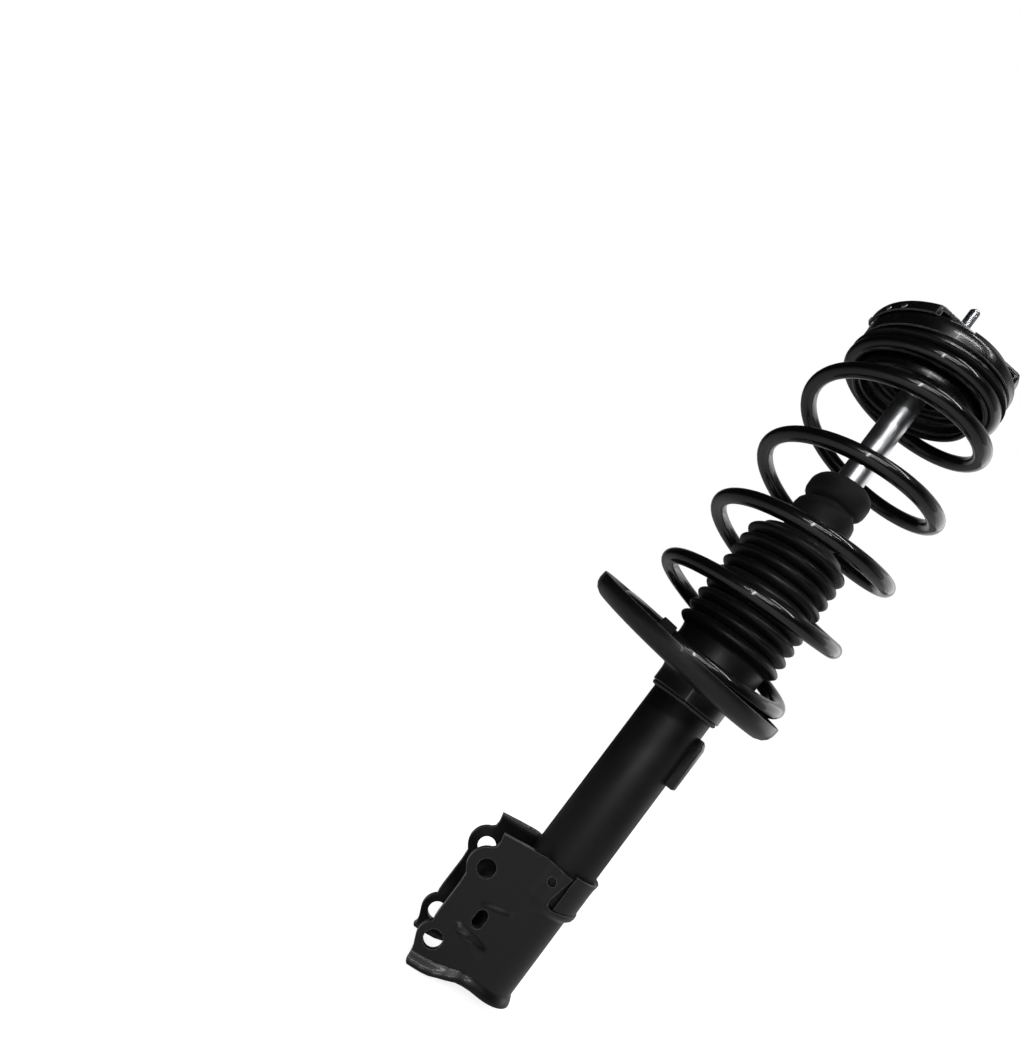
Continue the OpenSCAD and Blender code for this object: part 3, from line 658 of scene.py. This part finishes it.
def thread(root, crest, start, end, pitch, flank):
    """Stations of a rolled thread: flank is where each rib starts to rise, tops out and ends."""
    stations = []
    height = start
    while height < end:
        stations += [(root, height), (root, height + flank[0]), (crest, height + flank[1]),
                     (crest, height + flank[2])]
        height += pitch
    return stations


def make_studs():
    """Three alike, each with its round head, wider neck and rolled thread."""
    first = turned("stud", [
        (0.4, -6.0), (6.6, -6.0), (7.6, -5.7), (8.0, -5.0), (8.0, -3.8), (7.7, -3.1), (5.0, -3.0),
        (4.4, -2.6), (4.4, -0.1), (4.0, 0.0), (4.0, 0.8),
        *thread(3.3, 4.0, start=1.2, end=16.0, pitch=1.25, flank=(0.25, 0.62, 0.85)),
        (3.9, 16.6), (3.0, 17.5), (0.4, 17.5)], sides=40)
    studs = [copied(first, direction, (STUD_CIRCLE, 0, 0)) for direction in STUD_DIRS]
    put_away(first)
    return smoothed(joined("mount_stud_set", studs), 28)


fit(make_studs(), "mount", "zinc", ZINC, "mount_studs")

bush = turned("mount_bush", [
    (13, -22), (29.6, -22), (30, -21.5), (30, -4.2), (29, -3.2), (26, -3.0), (24.5, -3.6),
    (23.6, -5.2), (22.2, -6.2), (20.8, -5.6), (20, -4.2), (18.8, -3.6), (17.4, -4.4), (16.4, -6.0),
    (15, -6.2), (13.2, -6.0)])
fit(smoothed(bush, 50), "mount", "rubber", RUBBER, "mount_rubber")


def make_nut():
    """A hexagon nut with turned chamfers and a countersunk bore."""
    corner_r, bottom, top = 12.7, 1.5, 11.5
    deselect()
    bpy.ops.mesh.primitive_cylinder_add(vertices=6, radius=corner_r * MM, depth=(top - bottom) * MM,
                                        location=(0, 0, (bottom + top) / 2 * MM))
    nut = tidy(named("rod_lock_nut"))
    chamfered = turned("blank", [
        (7.0, bottom), (11.2, bottom), (12.75, 2.6), (12.75, 10.4), (11.2, top), (8.2, top), (7.0, 10.3)])
    combine(nut, chamfered, "INTERSECT")
    bevelled(nut, 0.25, 2, 30)
    return smoothed(nut, 25)


fit(make_nut(), "mount", "zinc", ZINC, "rod_nut")


def make_rod():
    """The chromed rod, its shoulder, its threaded top and its lower neck."""
    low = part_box("piston_rod")[0].z / MM
    return smoothed(turned("chromed_rod", [
        (0.4, low), (6.4, low), (7.0, low + 0.6), (7.0, -366.0), (10.4, -365.8), (11.0, -365.2),
        (11.0, -29.4), (10.5, -28.6), (7.0, -28.5), (7.0, -2.0),
        *thread(6.45, 7.0, start=-1.0, end=12.0, pitch=1.5, flank=(0.3, 0.75, 1.0)),
        (6.6, 12.8), (6.0, 13.4), (3.4, 13.5), (3.2, 13.2), (3.2, 8.0), (0.4, 8.0)]), 30)


fit(make_rod(), "mount", "hard_chrome", HARD_CHROME, "piston_rod")


# ---------------------------------------------------------------- upper spring seat

seat_cup = turned("upper_seat_cup", [
    (32, -25), (60.4, -25), (61, -25.4), (61, -27.0), (60.5, -27.5), (57.5, -27.5), (56.8, -28.2),
    (55.6, -28.2), (55.0, -27.5), (52.5, -27.5), (50.6, -28.3), (49.9, -30), (49.5, -36), (49.3, -44),
    (49.3, -48.4), (48.6, -50.2), (47.2, -51), (45.8, -50.4),
    (45.2, -49), (45.0, -46.8), (44.2, -46), (43.6, -44.6),
    (43.2, -40.5), (42.3, -38.8), (40.6, -38), (39.8, -36.6), (39.2, -34.2), (37.8, -32.9), (35, -32.5),
    (32.6, -32.4), (32, -31.8)], sides=160)
fit(smoothed(seat_cup, 32), "spring_seat", "seat_plastic", SEAT_PLASTIC, "upper_spring_seat")

top_pad = turned("upper_seat_pad", [
    (50.2, -27.6), (60.6, -27.6), (61.2, -28), (62.2, -28.8), (62.4, -29.8), (61.8, -30.4), (58, -30.5),
    (52, -30.5), (50.2, -30.2)], sides=128)
fit(smoothed(top_pad, 45), "spring_seat", "rubber", PAD_RUBBER, "upper_spring_pad")


# ---------------------------------------------------------------- spring

WIRE_R = 6.4
SEAT_TILT = 8.9
RISE_DIR = 119  # the direction in which the lower seat rises
SEAT_DROP = 313
SEAT_SHIFT = 23
SEAT_FLOOR = -14.5
LOWER_PAD_THICK = 3
LOW_GAP, TOP_GAP = 0.2, 0.05  # between the wire and the pads
# where along the wire, in turns, it starts, leaves the seat, runs free, closes up, lies flat and ends
COIL_START, COIL_END = -1.0, 5.05
COIL_LIFT, COIL_FREE, COIL_CLOSE, COIL_CLOSED = -0.485, -0.015, 4.0, 4.6
COIL_R, COIL_WIDEST, COIL_BARREL = 68, 2, 0.33
COIL_TOP_R, NARROW_FROM, NARROW_OVER = 56.3, 3.9, 0.65
SHIFT_UNTIL = 3
WIRE_DIR = -18
COIL_TOP_Z = PAD_BOTTOM - WIRE_R - TOP_GAP
COIL_DROP = 20
RISE = math.tan(math.radians(SEAT_TILT))
LEAN_LOW = (RISE * math.cos(math.radians(RISE_DIR)), RISE * math.sin(math.radians(RISE_DIR)))
LEAN_TOP = (-0.123, 0.008)


def rim_height(x, y):
    return -SEAT_DROP + LEAN_LOW[0] * (x + SEAT_SHIFT) + LEAN_LOW[1] * y


COIL_LOW_Z = (rim_height(0, 0)
              + (SEAT_FLOOR + LOWER_PAD_THICK + WIRE_R) / math.cos(math.radians(SEAT_TILT)) + LOW_GAP)
COIL_CLOSE_Z = COIL_TOP_Z - COIL_DROP
COIL_PITCH = (COIL_CLOSE_Z - COIL_LOW_Z) / ((COIL_FREE - COIL_LIFT) / 2 + COIL_CLOSE - COIL_FREE)
COIL_SLOPE = COIL_PITCH / (2 * (COIL_FREE - COIL_LIFT))


def coil_height(n):
    """Height of the wire's middle after n turns, before the lean of its turns."""
    if n < COIL_LIFT:
        return COIL_LOW_Z
    if n < COIL_FREE:
        return COIL_LOW_Z + COIL_SLOPE * (n - COIL_LIFT) ** 2
    if n < COIL_CLOSE:
        return COIL_LOW_Z + COIL_SLOPE * (COIL_FREE - COIL_LIFT) ** 2 + COIL_PITCH * (n - COIL_FREE)
    t = clamp01((n - COIL_CLOSE) / (COIL_CLOSED - COIL_CLOSE))
    return mix(COIL_CLOSE_Z, COIL_TOP_Z, 1 - (1 - t) ** 2)


def coil_point(n):
    shift = 0
    if n < SHIFT_UNTIL:
        shift = -(SEAT_SHIFT - 1) * ((SHIFT_UNTIL - n) / (SHIFT_UNTIL - COIL_START)) ** 2
    barrel = COIL_R - COIL_BARREL * (n - COIL_WIDEST) ** 2
    radius = mix(barrel, COIL_TOP_R, ease((n - NARROW_FROM) / NARROW_OVER))
    a = math.radians(360 * n + WIRE_DIR)
    x, y = shift + radius * math.cos(a), radius * math.sin(a)
    flat = 1 - ease((n - COIL_CLOSE) / (COIL_CLOSED - COIL_CLOSE))
    t = clamp01(n / COIL_CLOSE)
    lean = [mix(LEAN_LOW[k], LEAN_TOP[k], t) * flat for k in (0, 1)]
    return Vector((x, y, coil_height(n) + lean[0] * x + lean[1] * y))


def make_coil():
    """The wire drawn along its path, with rounded ends."""
    steps_per_turn = 64
    count = round((COIL_END - COIL_START) * steps_per_turn)
    deselect()
    bpy.ops.curve.primitive_nurbs_path_add()
    curve = bpy.context.object.data
    curve.splines.clear()
    line = curve.splines.new("POLY")
    places = [coil_point(mix(COIL_START, COIL_END, k / count)) for k in range(count + 1)]
    line.points.add(len(places) - 1)
    for point, place in zip(line.points, places):
        point.co = (*(place * MM), 1)
    # the two ends are dressed to a small round
    for k, share in enumerate((0.80, 0.93, 0.985)):
        line.points[k].radius = share
        line.points[-1 - k].radius = share
    curve.dimensions = "3D"
    curve.bevel_depth = WIRE_R * MM
    curve.bevel_resolution = 10
    curve.use_fill_caps = True
    bpy.ops.object.convert(target="MESH")
    return tidy(named("coil_spring_wire"))


coil = make_coil()
fit(smoothed(coil, 50), "spring_seat", "spring_enamel", SPRING_ENAMEL, "coil_spring")
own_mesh(coil)


# ---------------------------------------------------------------- damper tube

TUBE_R = 25.5
NECK_R = 21.5
NECK_TOP = -525
NECK_BOTTOM = -531

tube = turned("strut_tube_shell", [
    (23, -322), (25.2, -322), (TUBE_R, -322.4), (TUBE_R, NECK_TOP), (25.2, NECK_TOP - 1.2),
    (21.8, NECK_BOTTOM + 1), (NECK_R, NECK_BOTTOM), (NECK_R, -605.4), (21, -606), (19, -606),
    (19, NECK_BOTTOM), (23, NECK_TOP)], sides=128)
fit(smoothed(tube, 40), "strut", "black_paint", TUBE_PAINT, "strut_tube")

cap = turned("tube_top_cap", [
    (11.4, -321.8), (24.5, -322), (TUBE_R, -321.4), (TUBE_R, -319.6), (24.8, -318.4), (23.5, -318),
    (19.5, -318), (18.6, -318.8), (14.5, -318.8), (13.6, -318), (11.8, -318), (11.4, -318.4)])
fit(smoothed(cap, 40), "strut", "black_paint", BLACK_PAINT, "tube_cap")


foot = turned("tube_foot_cap", [
    (0.4, -603.0), (13.0, -603.0), (14.2, -603.6), (15.2, -605.2), (16.2, -605.9), (18.6, -605.9),
    (18.95, -605.2), (18.95, -601.2), (0.4, -601.2)])
fit(smoothed(foot, 35), "strut", "black_paint", BLACK_PAINT, "tube_end_cap")


def make_seat_weld():
    """A weld bead laid in overlapping ripples round the seat's collar."""
    ripples, middle = 96, -350
    outside_r, slant, valley, sink = 26.5, 0.25, 0.34, 0.982
    bead = turned("seat_weld_bead", [
        (25.4, -348.6), (27.6, -348.6), (28.5, -349.4), (28.6, -350.4), (27.9, -351.6), (26.6, -352.1),
        (25.4, -352.2)], sides=ripples * 3)
    activate(bead)
    bpy.ops.object.mode_set(mode="EDIT")
    step = FULL_TURN / ripples
    pick(bead, lambda p: math.hypot(p.x, p.y) > outside_r
         and (math.atan2(p.y, p.x) / step + slant * (p.z - middle)) % 1 < valley)
    bpy.ops.transform.resize(value=(sink, sink, 1), center_override=(0, 0, middle * MM))
    bpy.ops.object.mode_set(mode="OBJECT")
    return smoothed(bead, 70)


fit(make_seat_weld(), "strut", "weld_paint", WELD_PAINT, "seat_weld")


def make_hose_tab():
    """A folded tab welded along the tube, with a rounded outer fold."""
    low, high, direction = -407, -364, -29
    blank = drawn("hose_tab_fold", [
        (24.6, low), (31.2, low), (32.0, low + 1.2), (32.0, high - 6), (30.6, high - 2.2), (28.4, high),
        (24.6, high)], (-6, 6))
    cut = drawn("hollow", [(20, low - 5), (30.0, low - 5), (30.0, high + 5), (20, high + 5)], (-4.2, 4.2))
    combine(blank, cut, "DIFFERENCE")
    bevelled(blank, 0.7, 3, 50)
    tab = copied(blank, direction)
    put_away(blank)
    tab.name = "hose_tab_fold"
    return smoothed(tidy(tab), 35)


fit(make_hose_tab(), "strut", "black_paint", BLACK_PAINT, "hose_tab")


# ---------------------------------------------------------------- lower spring seat

def tilt_to_seat(piece):
    """Carries a piece turned about its own axis into the tilted, offset frame of the lower seat."""
    activate(piece)
    piece.matrix_world = (Matrix.Translation(Vector((-SEAT_SHIFT, 0, -SEAT_DROP)) * MM)
                          @ Matrix.Rotation(math.radians(RISE_DIR), 4, "Z")
                          @ Matrix.Rotation(math.radians(-SEAT_TILT), 4, "Y"))
    return tidy(piece)


def make_lower_seat():
    """The dished seat with a rolled rim and a ring pressed in its floor, on a flared collar."""
    dish = turned("lower_seat_dish", [
        (0.5, -14.6), (30, -14.6), (34, -14.2), (38, -13.2), (42, -13.2), (46, -14.2), (50, -14.5),
        (74, -14.5), (78, -14.0), (81.5, -12.2), (84, -9.4), (85.0, -6.2), (85.2, -1.2), (85.5, -0.3),
        (86.2, 0), (86.8, -0.3), (87, -1.0), (87, -6.6), (86.0, -10.4), (83.4, -13.8), (79.4, -16.0),
        (75, -16.5), (50, -16.5), (46, -16.2), (42, -15.2), (38, -15.2), (34, -16.2), (30, -16.6),
        (0.5, -16.6)], sides=192)
    tilt_to_seat(dish)
    collar = turned("seat_collar", [
        (25.0, -348.6), (28.9, -348.6), (29.5, -348.0), (29.5, -338), (29.9, -334.5), (31.2, -331.8),
        (33.6, -329.9), (36.5, -329.0), (36.0, -326.4), (25.0, -326.4)], sides=128)
    combine(dish, collar, "UNION")
    bore = rod_shape("bore", TUBE_R - 0.02, (0, 0, -360), (0, 0, -300), 128)
    combine(dish, bore, "DIFFERENCE")
    bevelled(dish, 0.5, 2, 50)
    return smoothed(tidy(dish), 35)


fit(make_lower_seat(), "strut", "black_paint", BLACK_PAINT, "lower_spring_seat")


STOP_DIR = -121


def make_lower_pad():
    """The rubber pad under the coil's end, with its raised stop beside the wire's cut end."""
    pad = turned("lower_seat_pad", [
        (57.6, -14.4), (76, -14.4), (76.0, -12.6), (75.0, -11.6), (72, -11.5), (60, -11.5), (58.2, -11.8),
        (57.6, -12.8)], sides=128)
    stop = drawn("stop", [
        (71.1, -14.4), (75.8, -14.4), (75.8, 4.8), (74.8, 6.2), (72, 6.2), (71.1, 5.2)], (-5.6, 5.6))
    bevelled(stop, 0.8, 3, 50)
    twin = copied(stop, STOP_DIR - RISE_DIR)
    put_away(stop)
    combine(pad, twin, "UNION")
    tilt_to_seat(pad)
    return smoothed(pad, 35)


fit(make_lower_pad(), "strut", "rubber", PAD_RUBBER, "lower_spring_pad")


# ---------------------------------------------------------------- boot and bump stop

FOLDS_BOTTOM = -298
FOLD_PITCH = 11
FOLD_COUNT = 9
FOLD_STEPS = 12
CREST_R, FOLD_DEPTH, BOOT_TAPER = 43.3, 6.4, 1.5
BOOT_WALL = 2.1


def fold_wave(t):
    """Radius along the folds: round crests with tighter valleys between them."""
    crest = abs(math.cos(math.pi * (t - 0.5))) ** 0.8
    return CREST_R - FOLD_DEPTH * (1 - crest) - BOOT_TAPER * t / FOLD_COUNT


def make_boot():
    """The rubber bellows with its skirt, rounded folds and turned-in top."""
    outer = [(36.1, -322.5), (36.5, -321.8), (36.4, -318), (35.9, -312), (35.8, -306), (36.1, -301)]
    outer += [(fold_wave(k / FOLD_STEPS), FOLDS_BOTTOM + k / FOLD_STEPS * FOLD_PITCH)
              for k in range(FOLD_COUNT * FOLD_STEPS + 1)]
    outer += [(34.6, -197.8), (33.4, -195.4), (31.4, -194.2), (28, -194.05), (11.5, -194.05)]
    # the wall goes inward all the way up, and downward in the turned-in top
    inner = [(r - BOOT_WALL if r > 30 else r, z if z < -200 else z - 2.0) for r, z in reversed(outer)]
    return smoothed(turned("dust_boot_bellows", outer + inner, sides=112), 60)


fit(make_boot(), "strut", "rubber", RUBBER, "dust_boot")

bump = turned("bump_stop_foam", [
    (11.5, -194), (17.2, -194), (18.6, -193.2), (19.2, -191.5), (19.3, -189.4), (20.2, -187.4),
    (22.2, -185.6), (24.0, -182.8), (24.9, -178.6), (25.0, -173), (24.9, -167.6), (24.1, -163.6),
    (22.4, -161.0), (20.6, -159.4), (19.6, -158.4), (19.5, -157.6), (20.4, -156.9), (22.2, -156.2),
    (23.8, -154.4), (24.8, -151.6), (25.0, -148.4), (25.0, -144.4), (24.4, -141.8), (22.8, -138.8),
    (20.8, -136.6), (19.6, -135.7), (18.6, -135.5), (14.2, -135.5), (12.6, -136.1), (11.5, -137.5)])
fit(smoothed(bump, 60), "strut", "foam", FOAM, "bump_stop")


# ---------------------------------------------------------------- knuckle bracket

BRACKET_T = 4
EAR_MID = 22
UPPER_BOLT = (-50, -533)
LOWER_BOLT = (-50, -595.5)
BOLT_HOLE_R = 7.3
SLOT = (-31.7, -564.25)
SLOT_R, SLOT_HALF = 4.5, 3
PEEP_R, PEEP_DIR, PEEP_HEIGHT = 3.4, -105, -511
THROUGH = (-60, 60)  # from well outside one ear to well outside the other
SHEET_FRONT, SHEET_TOP, SHEET_FOOT = -72.0, -496.0, -622.0
EAR_SHARE = 0.333  # how much of the sheet's width lies in each ear
BEND_RUN = 17
LIP_OUT, LIP_TALL = 5.6, 8.5
TOP_LIP_OUT = 2.4
BEAD_OUT, BEAD_LINE = 2.4, ((-40.9, -577.5), (-12.0, -583.5))
DENT_IN, DENT_WIDE, DENT_LINE = 1.9, 3.2, ((-40, -553), (-14, -545))
WELD_HEIGHTS = (-508, -525)
WELD_DIR, WELD_R, WELD_DROPS = 129, 27.6, 4


def foot_line(x):
    """Height of the sheet's lower edge at a place along the ears and the barrel."""
    stations = [(-80, -617.8), (-56, -617.8), (-47, -616.9), (-38, -615.2), (-29, -611.8), (-20, -608.2),
                (-10, -606.5), (0, -606.4), (10, -606.2), (20, -606.0), (60, -606)]
    for (x0, z0), (x1, z1) in zip(stations, stations[1:]):
        if x <= x1:
            return mix(z0, z1, ease((x - x0) / (x1 - x0)) * 0.5 + 0.5 * (x - x0) / (x1 - x0))
    return stations[-1][1]


def near_line(x, z, start, end):
    """Distance of a place from a line, and how far along it, from 0 to 1."""
    a, b = Vector(start), Vector(end)
    along = b - a
    t = clamp01((Vector((x, z)) - a).dot(along) / along.length_squared)
    return (Vector((x, z)) - a - along * t).length, t


def press_out(x, z):
    """How far the press pushed the ear's sheet outward at a place: lips, bead and dent."""
    lip = (LIP_OUT * ease((foot_line(x) + LIP_TALL - z) / LIP_TALL)
           * (0.45 + 0.55 * clamp01((-x - 4) / 40)))
    top = TOP_LIP_OUT * ease((z + 508 - 0.12 * (x + 50)) / 6.0) * clamp01((-x - 18) / 8)
    away, t = near_line(x, z, *BEAD_LINE)
    bead = BEAD_OUT * math.exp(-(away / (1.7 + 2.6 * t)) ** 2) * ease((1.06 - t) / 0.4)
    away, t = near_line(x, z, *DENT_LINE)
    dent = -DENT_IN * math.exp(-(away / DENT_WIDE) ** 2) * math.sin(math.pi * clamp01(t)) ** 0.5
    return lip + top + bead + dent


def make_bracket_sheet():
    """The sheet bent round the tube: a grid laid on the bend, pressed to shape and given its thickness."""
    columns, rows = 150, 78
    deselect()
    bpy.ops.mesh.primitive_grid_add(x_subdivisions=columns, y_subdivisions=rows, size=2)
    sheet = named("knuckle_bracket_sheet")
    for v in sheet.data.vertices:
        s, z = (v.co.x + 1) / 2, mix(SHEET_FOOT, SHEET_TOP, (v.co.y + 1) / 2)
        tube_r = mix(NECK_R, TUBE_R, ease((z - NECK_BOTTOM + 2) / (NECK_TOP - NECK_BOTTOM)))
        wrap = tube_r + BRACKET_T / 2
        side = -1 if s < 0.5 else 1
        t = min(s, 1 - s)
        if t < EAR_SHARE:
            x = SHEET_FRONT * (1 - t / EAR_SHARE)
            y = mix(EAR_MID, wrap, ease((x + BEND_RUN) / BEND_RUN)) + press_out(x, z)
            v.co = Vector((x, side * y, z)) * MM
        else:
            a = math.radians(mix(90, 0, (t - EAR_SHARE) / (0.5 - EAR_SHARE)))
            r = wrap + press_out(0, z) * (1 + 0.25 * math.cos(a))
            v.co = Vector((r * math.cos(a), side * r * math.sin(a), z)) * MM
    tidy(sheet)
    modify(sheet, "SOLIDIFY", thickness=BRACKET_T * MM, offset=0.0, use_even_offset=True)
    return sheet


def bracket_outline():
    """The sheet's outline seen from the side, as (x, z)."""
    line = [(-54.6, -505.8), (-39.4, -503.0), (-23.1, -500.4), (3, -500.3), (-1.4, -521),
            (-0.6, -525.4), (3.2, -527), (18, -524.6), (40, -524.4), (40, -609.2)]
    foot = [(x, foot_line(x)) for x in range(28, -57, -6)]
    lower = arc(LOWER_BOLT, 13, 205, 128, 10)
    upper = arc(UPPER_BOLT, 15, 230, 112, 14)
    return (line + foot + [(-57.6, -616.4), (-57.4, -612), (-58.4, -608)] + lower
            + [(-58.6, -583), (-58.9, -578), (-58.9, -553)] + upper + [(-53.4, -517), (-53.0, -513)])


def make_bracket():
    sheet = make_bracket_sheet()
    combine(sheet, drawn("outline", bracket_outline(), THROUGH), "INTERSECT")
    for x, z in (UPPER_BOLT, LOWER_BOLT):
        hole = rod_shape("bolt_hole", BOLT_HOLE_R, (x, THROUGH[0], z), (x, THROUGH[1], z))
        combine(sheet, hole, "DIFFERENCE")
    x, z = SLOT
    slot_outline = (arc((x, z + SLOT_HALF), SLOT_R, 0, 180, 12)
                    + arc((x, z - SLOT_HALF), SLOT_R, 180, 360, 12))
    combine(sheet, drawn("slot", slot_outline, THROUGH), "DIFFERENCE")
    peep = rod_shape("peep_hole", PEEP_R, on_circle(20, PEEP_DIR, PEEP_HEIGHT),
                     on_circle(40, PEEP_DIR, PEEP_HEIGHT), 32)
    combine(sheet, peep, "DIFFERENCE")
    bevelled(sheet, 0.8, 3, 50)
    return smoothed(tidy(sheet), 32)


fit(make_bracket(), "strut", "black_paint", BLACK_PAINT, "knuckle_bracket")


def ring_part(name, profile, wedge, depth, edge):
    """What a drawn wedge leaves of a turned ring, with its edges broken."""
    ring = turned(name, profile, sides=128)
    combine(ring, drawn("wedge", wedge, depth), "INTERSECT")
    bevelled(ring, edge, 2, 50)
    return smoothed(tidy(ring), 35)


# the reinforcing collar in the band's notch, with its flared mouth
collar = ring_part("bracket_collar_ring", [
    (25.6, -526), (28.0, -526), (28.5, -525.4), (28.5, -507), (28.7, -502), (29.2, -498.6),
    (29.4, -497.2), (28.6, -496.8), (25.6, -498)],
    [(5.0, -530), (40, -530), (40, -490), (5.0, -490)], (-40, 40), edge=0.5)
fit(collar, "strut", "black_paint", BLACK_PAINT, "bracket_collar")

# the plate between the ears that closes the bracket round the tube
strap = ring_part("bracket_strap_plate", [
    (21.6, -583.2), (24.2, -583.2), (24.5, -582.6), (24.5, -532.8), (24.2, -532.2), (21.6, -532.2)],
    [(-40, -590), (-8.2, -590), (-8.2, -525), (-40, -525)], (-19.9, 19.9), edge=0.4)
fit(strap, "strut", "black_paint", BLACK_PAINT, "bracket_strap")


def make_bracket_welds():
    """Short beads where the sheet, collar and tube meet, each a row of overlapping drops."""
    drops = []
    for side in (-1, 1):
        for height in WELD_HEIGHTS:
            for k in range(-WELD_DROPS, WELD_DROPS + 1):
                deselect()
                size = 2.1 - 0.09 * abs(k)
                bpy.ops.mesh.primitive_uv_sphere_add(segments=16, ring_count=10, radius=size * MM)
                drop = named("drop")
                drop.location = on_circle(WELD_R, side * (WELD_DIR + k * 0.6), height + k * 1.2) * MM
                drop.rotation_euler = (0.3 * k, 0.2, side * 0.4)
                bpy.ops.object.mode_set(mode="EDIT")
                bpy.ops.mesh.select_all(action="SELECT")
                bpy.ops.transform.resize(value=(1, 1, 0.7))
                bpy.ops.object.mode_set(mode="OBJECT")
                drops.append(tidy(drop))
    return smoothed(joined("bracket_weld_beads", drops), 60)


fit(make_bracket_welds(), "strut", "weld_paint", WELD_PAINT, "bracket_welds")


# ---------------------------------------------------------------- pieces kept from the frame

KEPT = {
    "inner_sleeve": BARE_STEEL, "rod_washer": ZINC, "striker_cup": BLACK_PAINT,
    "bearing_upper_race": BARE_STEEL, "bearing_balls": BARE_STEEL, "bearing_lower_race": BARE_STEEL,
    "rebound_stop": BARE_STEEL, "piston": SINTERED_IRON, "piston_band": BAND_PLASTIC,
    "valve_discs": BARE_STEEL, "piston_nut": BARE_STEEL, "pressure_cylinder": BARE_STEEL,
    "base_valve": SINTERED_IRON, "rod_guide": SINTERED_IRON, "rod_seal": RUBBER,
}
for node_name, material in KEPT.items():
    for material_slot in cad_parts[node_name].material_slots:
        material_slot.material = material


# ---------------------------------------------------------------- room

FLOOR_SIZE = 14
FLOOR_GAP = 0.0006
WHITE_WALL_DIR = (0.78, 0.62, 0.08)
STRUT_MIDDLE = (0, 0, -300)
# name, place, aim, width, height and watts of each lamp, in millimetres
LAMPS = (
    ("front_strip", (-500, -1500, 250), STRUT_MIDDLE, 70, 1500, 6),
    ("high_strip", (500, -700, 1200), STRUT_MIDDLE, 70, 1300, 6),
    ("low_bar", (-350, -1500, 330), STRUT_MIDDLE, 1000, 40, 5),
    ("high_bar", (-100, -1250, 800), STRUT_MIDDLE, 1000, 40, 5),
    ("side_wash", (1700, 700, -100), (0, 0, -320), 1500, 2400, 9),
)


def make_floor():
    deselect()
    bpy.ops.mesh.primitive_grid_add(x_subdivisions=8, y_subdivisions=8, size=FLOOR_SIZE,
                                    location=(0, 0, cad_box[0].z - FLOOR_GAP))
    floor = named("studio_floor")
    material, tree, shader = new_material("pale_floor")
    shader.inputs["Base Color"].default_value = (0.8, 0.8, 0.8, 1)
    shader.inputs["Roughness"].default_value = 0.9
    shader.inputs["Specular IOR Level"].default_value = 0.1
    # the camera sees the floor glowing of itself near full brightness, dimmer within half a metre of its
    # middle: a painted shadow round the strut's foot, beside the real contact shadows
    shader.inputs["Emission Strength"].default_value = 1.0
    rays = tree.nodes.new("ShaderNodeLightPath")
    where = tree.nodes.new("ShaderNodeTexCoord")
    away = place_node(tree, "ShaderNodeVectorMath", operation="LENGTH")
    wire(tree, where, "Object", away, 0)
    # painted shadow: the glow is 0.84 within 0.12 m of the floor's middle and full at 0.5 m
    white_with_painted_shadow = ranged(tree, (away, "Value"), low=0.84, high=1.0, start=0.12, end=0.5)
    glow = maths(tree, "MULTIPLY", (rays, "Is Camera Ray"), white_with_painted_shadow)
    wire(tree, glow, 0, shader, "Emission Color")
    coat(floor, material)


def make_world():
    """White to the camera; to the paint, a dim room with a white wall behind the strut."""
    world = bpy.data.worlds.new("studio")
    bpy.context.scene.world = world
    world.use_nodes = True
    tree = world.node_tree
    tree.nodes.clear()
    out = tree.nodes.new("ShaderNodeOutputWorld")
    seen = place_node(tree, "ShaderNodeBackground", Color=(1, 1, 1, 1), Strength=1.0)
    lit = place_node(tree, "ShaderNodeBackground", Color=(1, 1, 1, 1), Strength=1.0)
    rays = tree.nodes.new("ShaderNodeLightPath")
    pick_one = tree.nodes.new("ShaderNodeMixShader")
    where = tree.nodes.new("ShaderNodeTexCoord")
    towards = place_node(tree, "ShaderNodeVectorMath", operation="DOT_PRODUCT")
    towards.inputs[1].default_value = WHITE_WALL_DIR
    wire(tree, where, "Generated", towards, 0)
    glow = ranged(tree, (towards, "Value"), low=0.008, high=0.6, start=0.35, end=0.98)
    wire(tree, *glow, lit, "Strength")
    wire(tree, rays, "Is Camera Ray", pick_one, 0)
    wire(tree, lit, 0, pick_one, 1)
    wire(tree, seen, 0, pick_one, 2)
    wire(tree, pick_one, 0, out, "Surface")


def soft_box(name, place, aim, width, height, watts):
    place, aim = Vector(place) * MM, Vector(aim) * MM
    bpy.ops.object.light_add(type="AREA", location=place)
    lamp = bpy.context.object
    lamp.name = name
    lamp.data.shape = "RECTANGLE"
    lamp.data.size = width * MM
    lamp.data.size_y = height * MM
    lamp.data.energy = watts
    lamp.rotation_euler = (aim - place).to_track_quat("-Z", "Y").to_euler()


make_floor()
make_world()
for lamp_settings in LAMPS:
    soft_box(*lamp_settings)

scene = bpy.context.scene
scene.view_settings.view_transform = "Standard"
scene.view_settings.look = "None"

deselect()
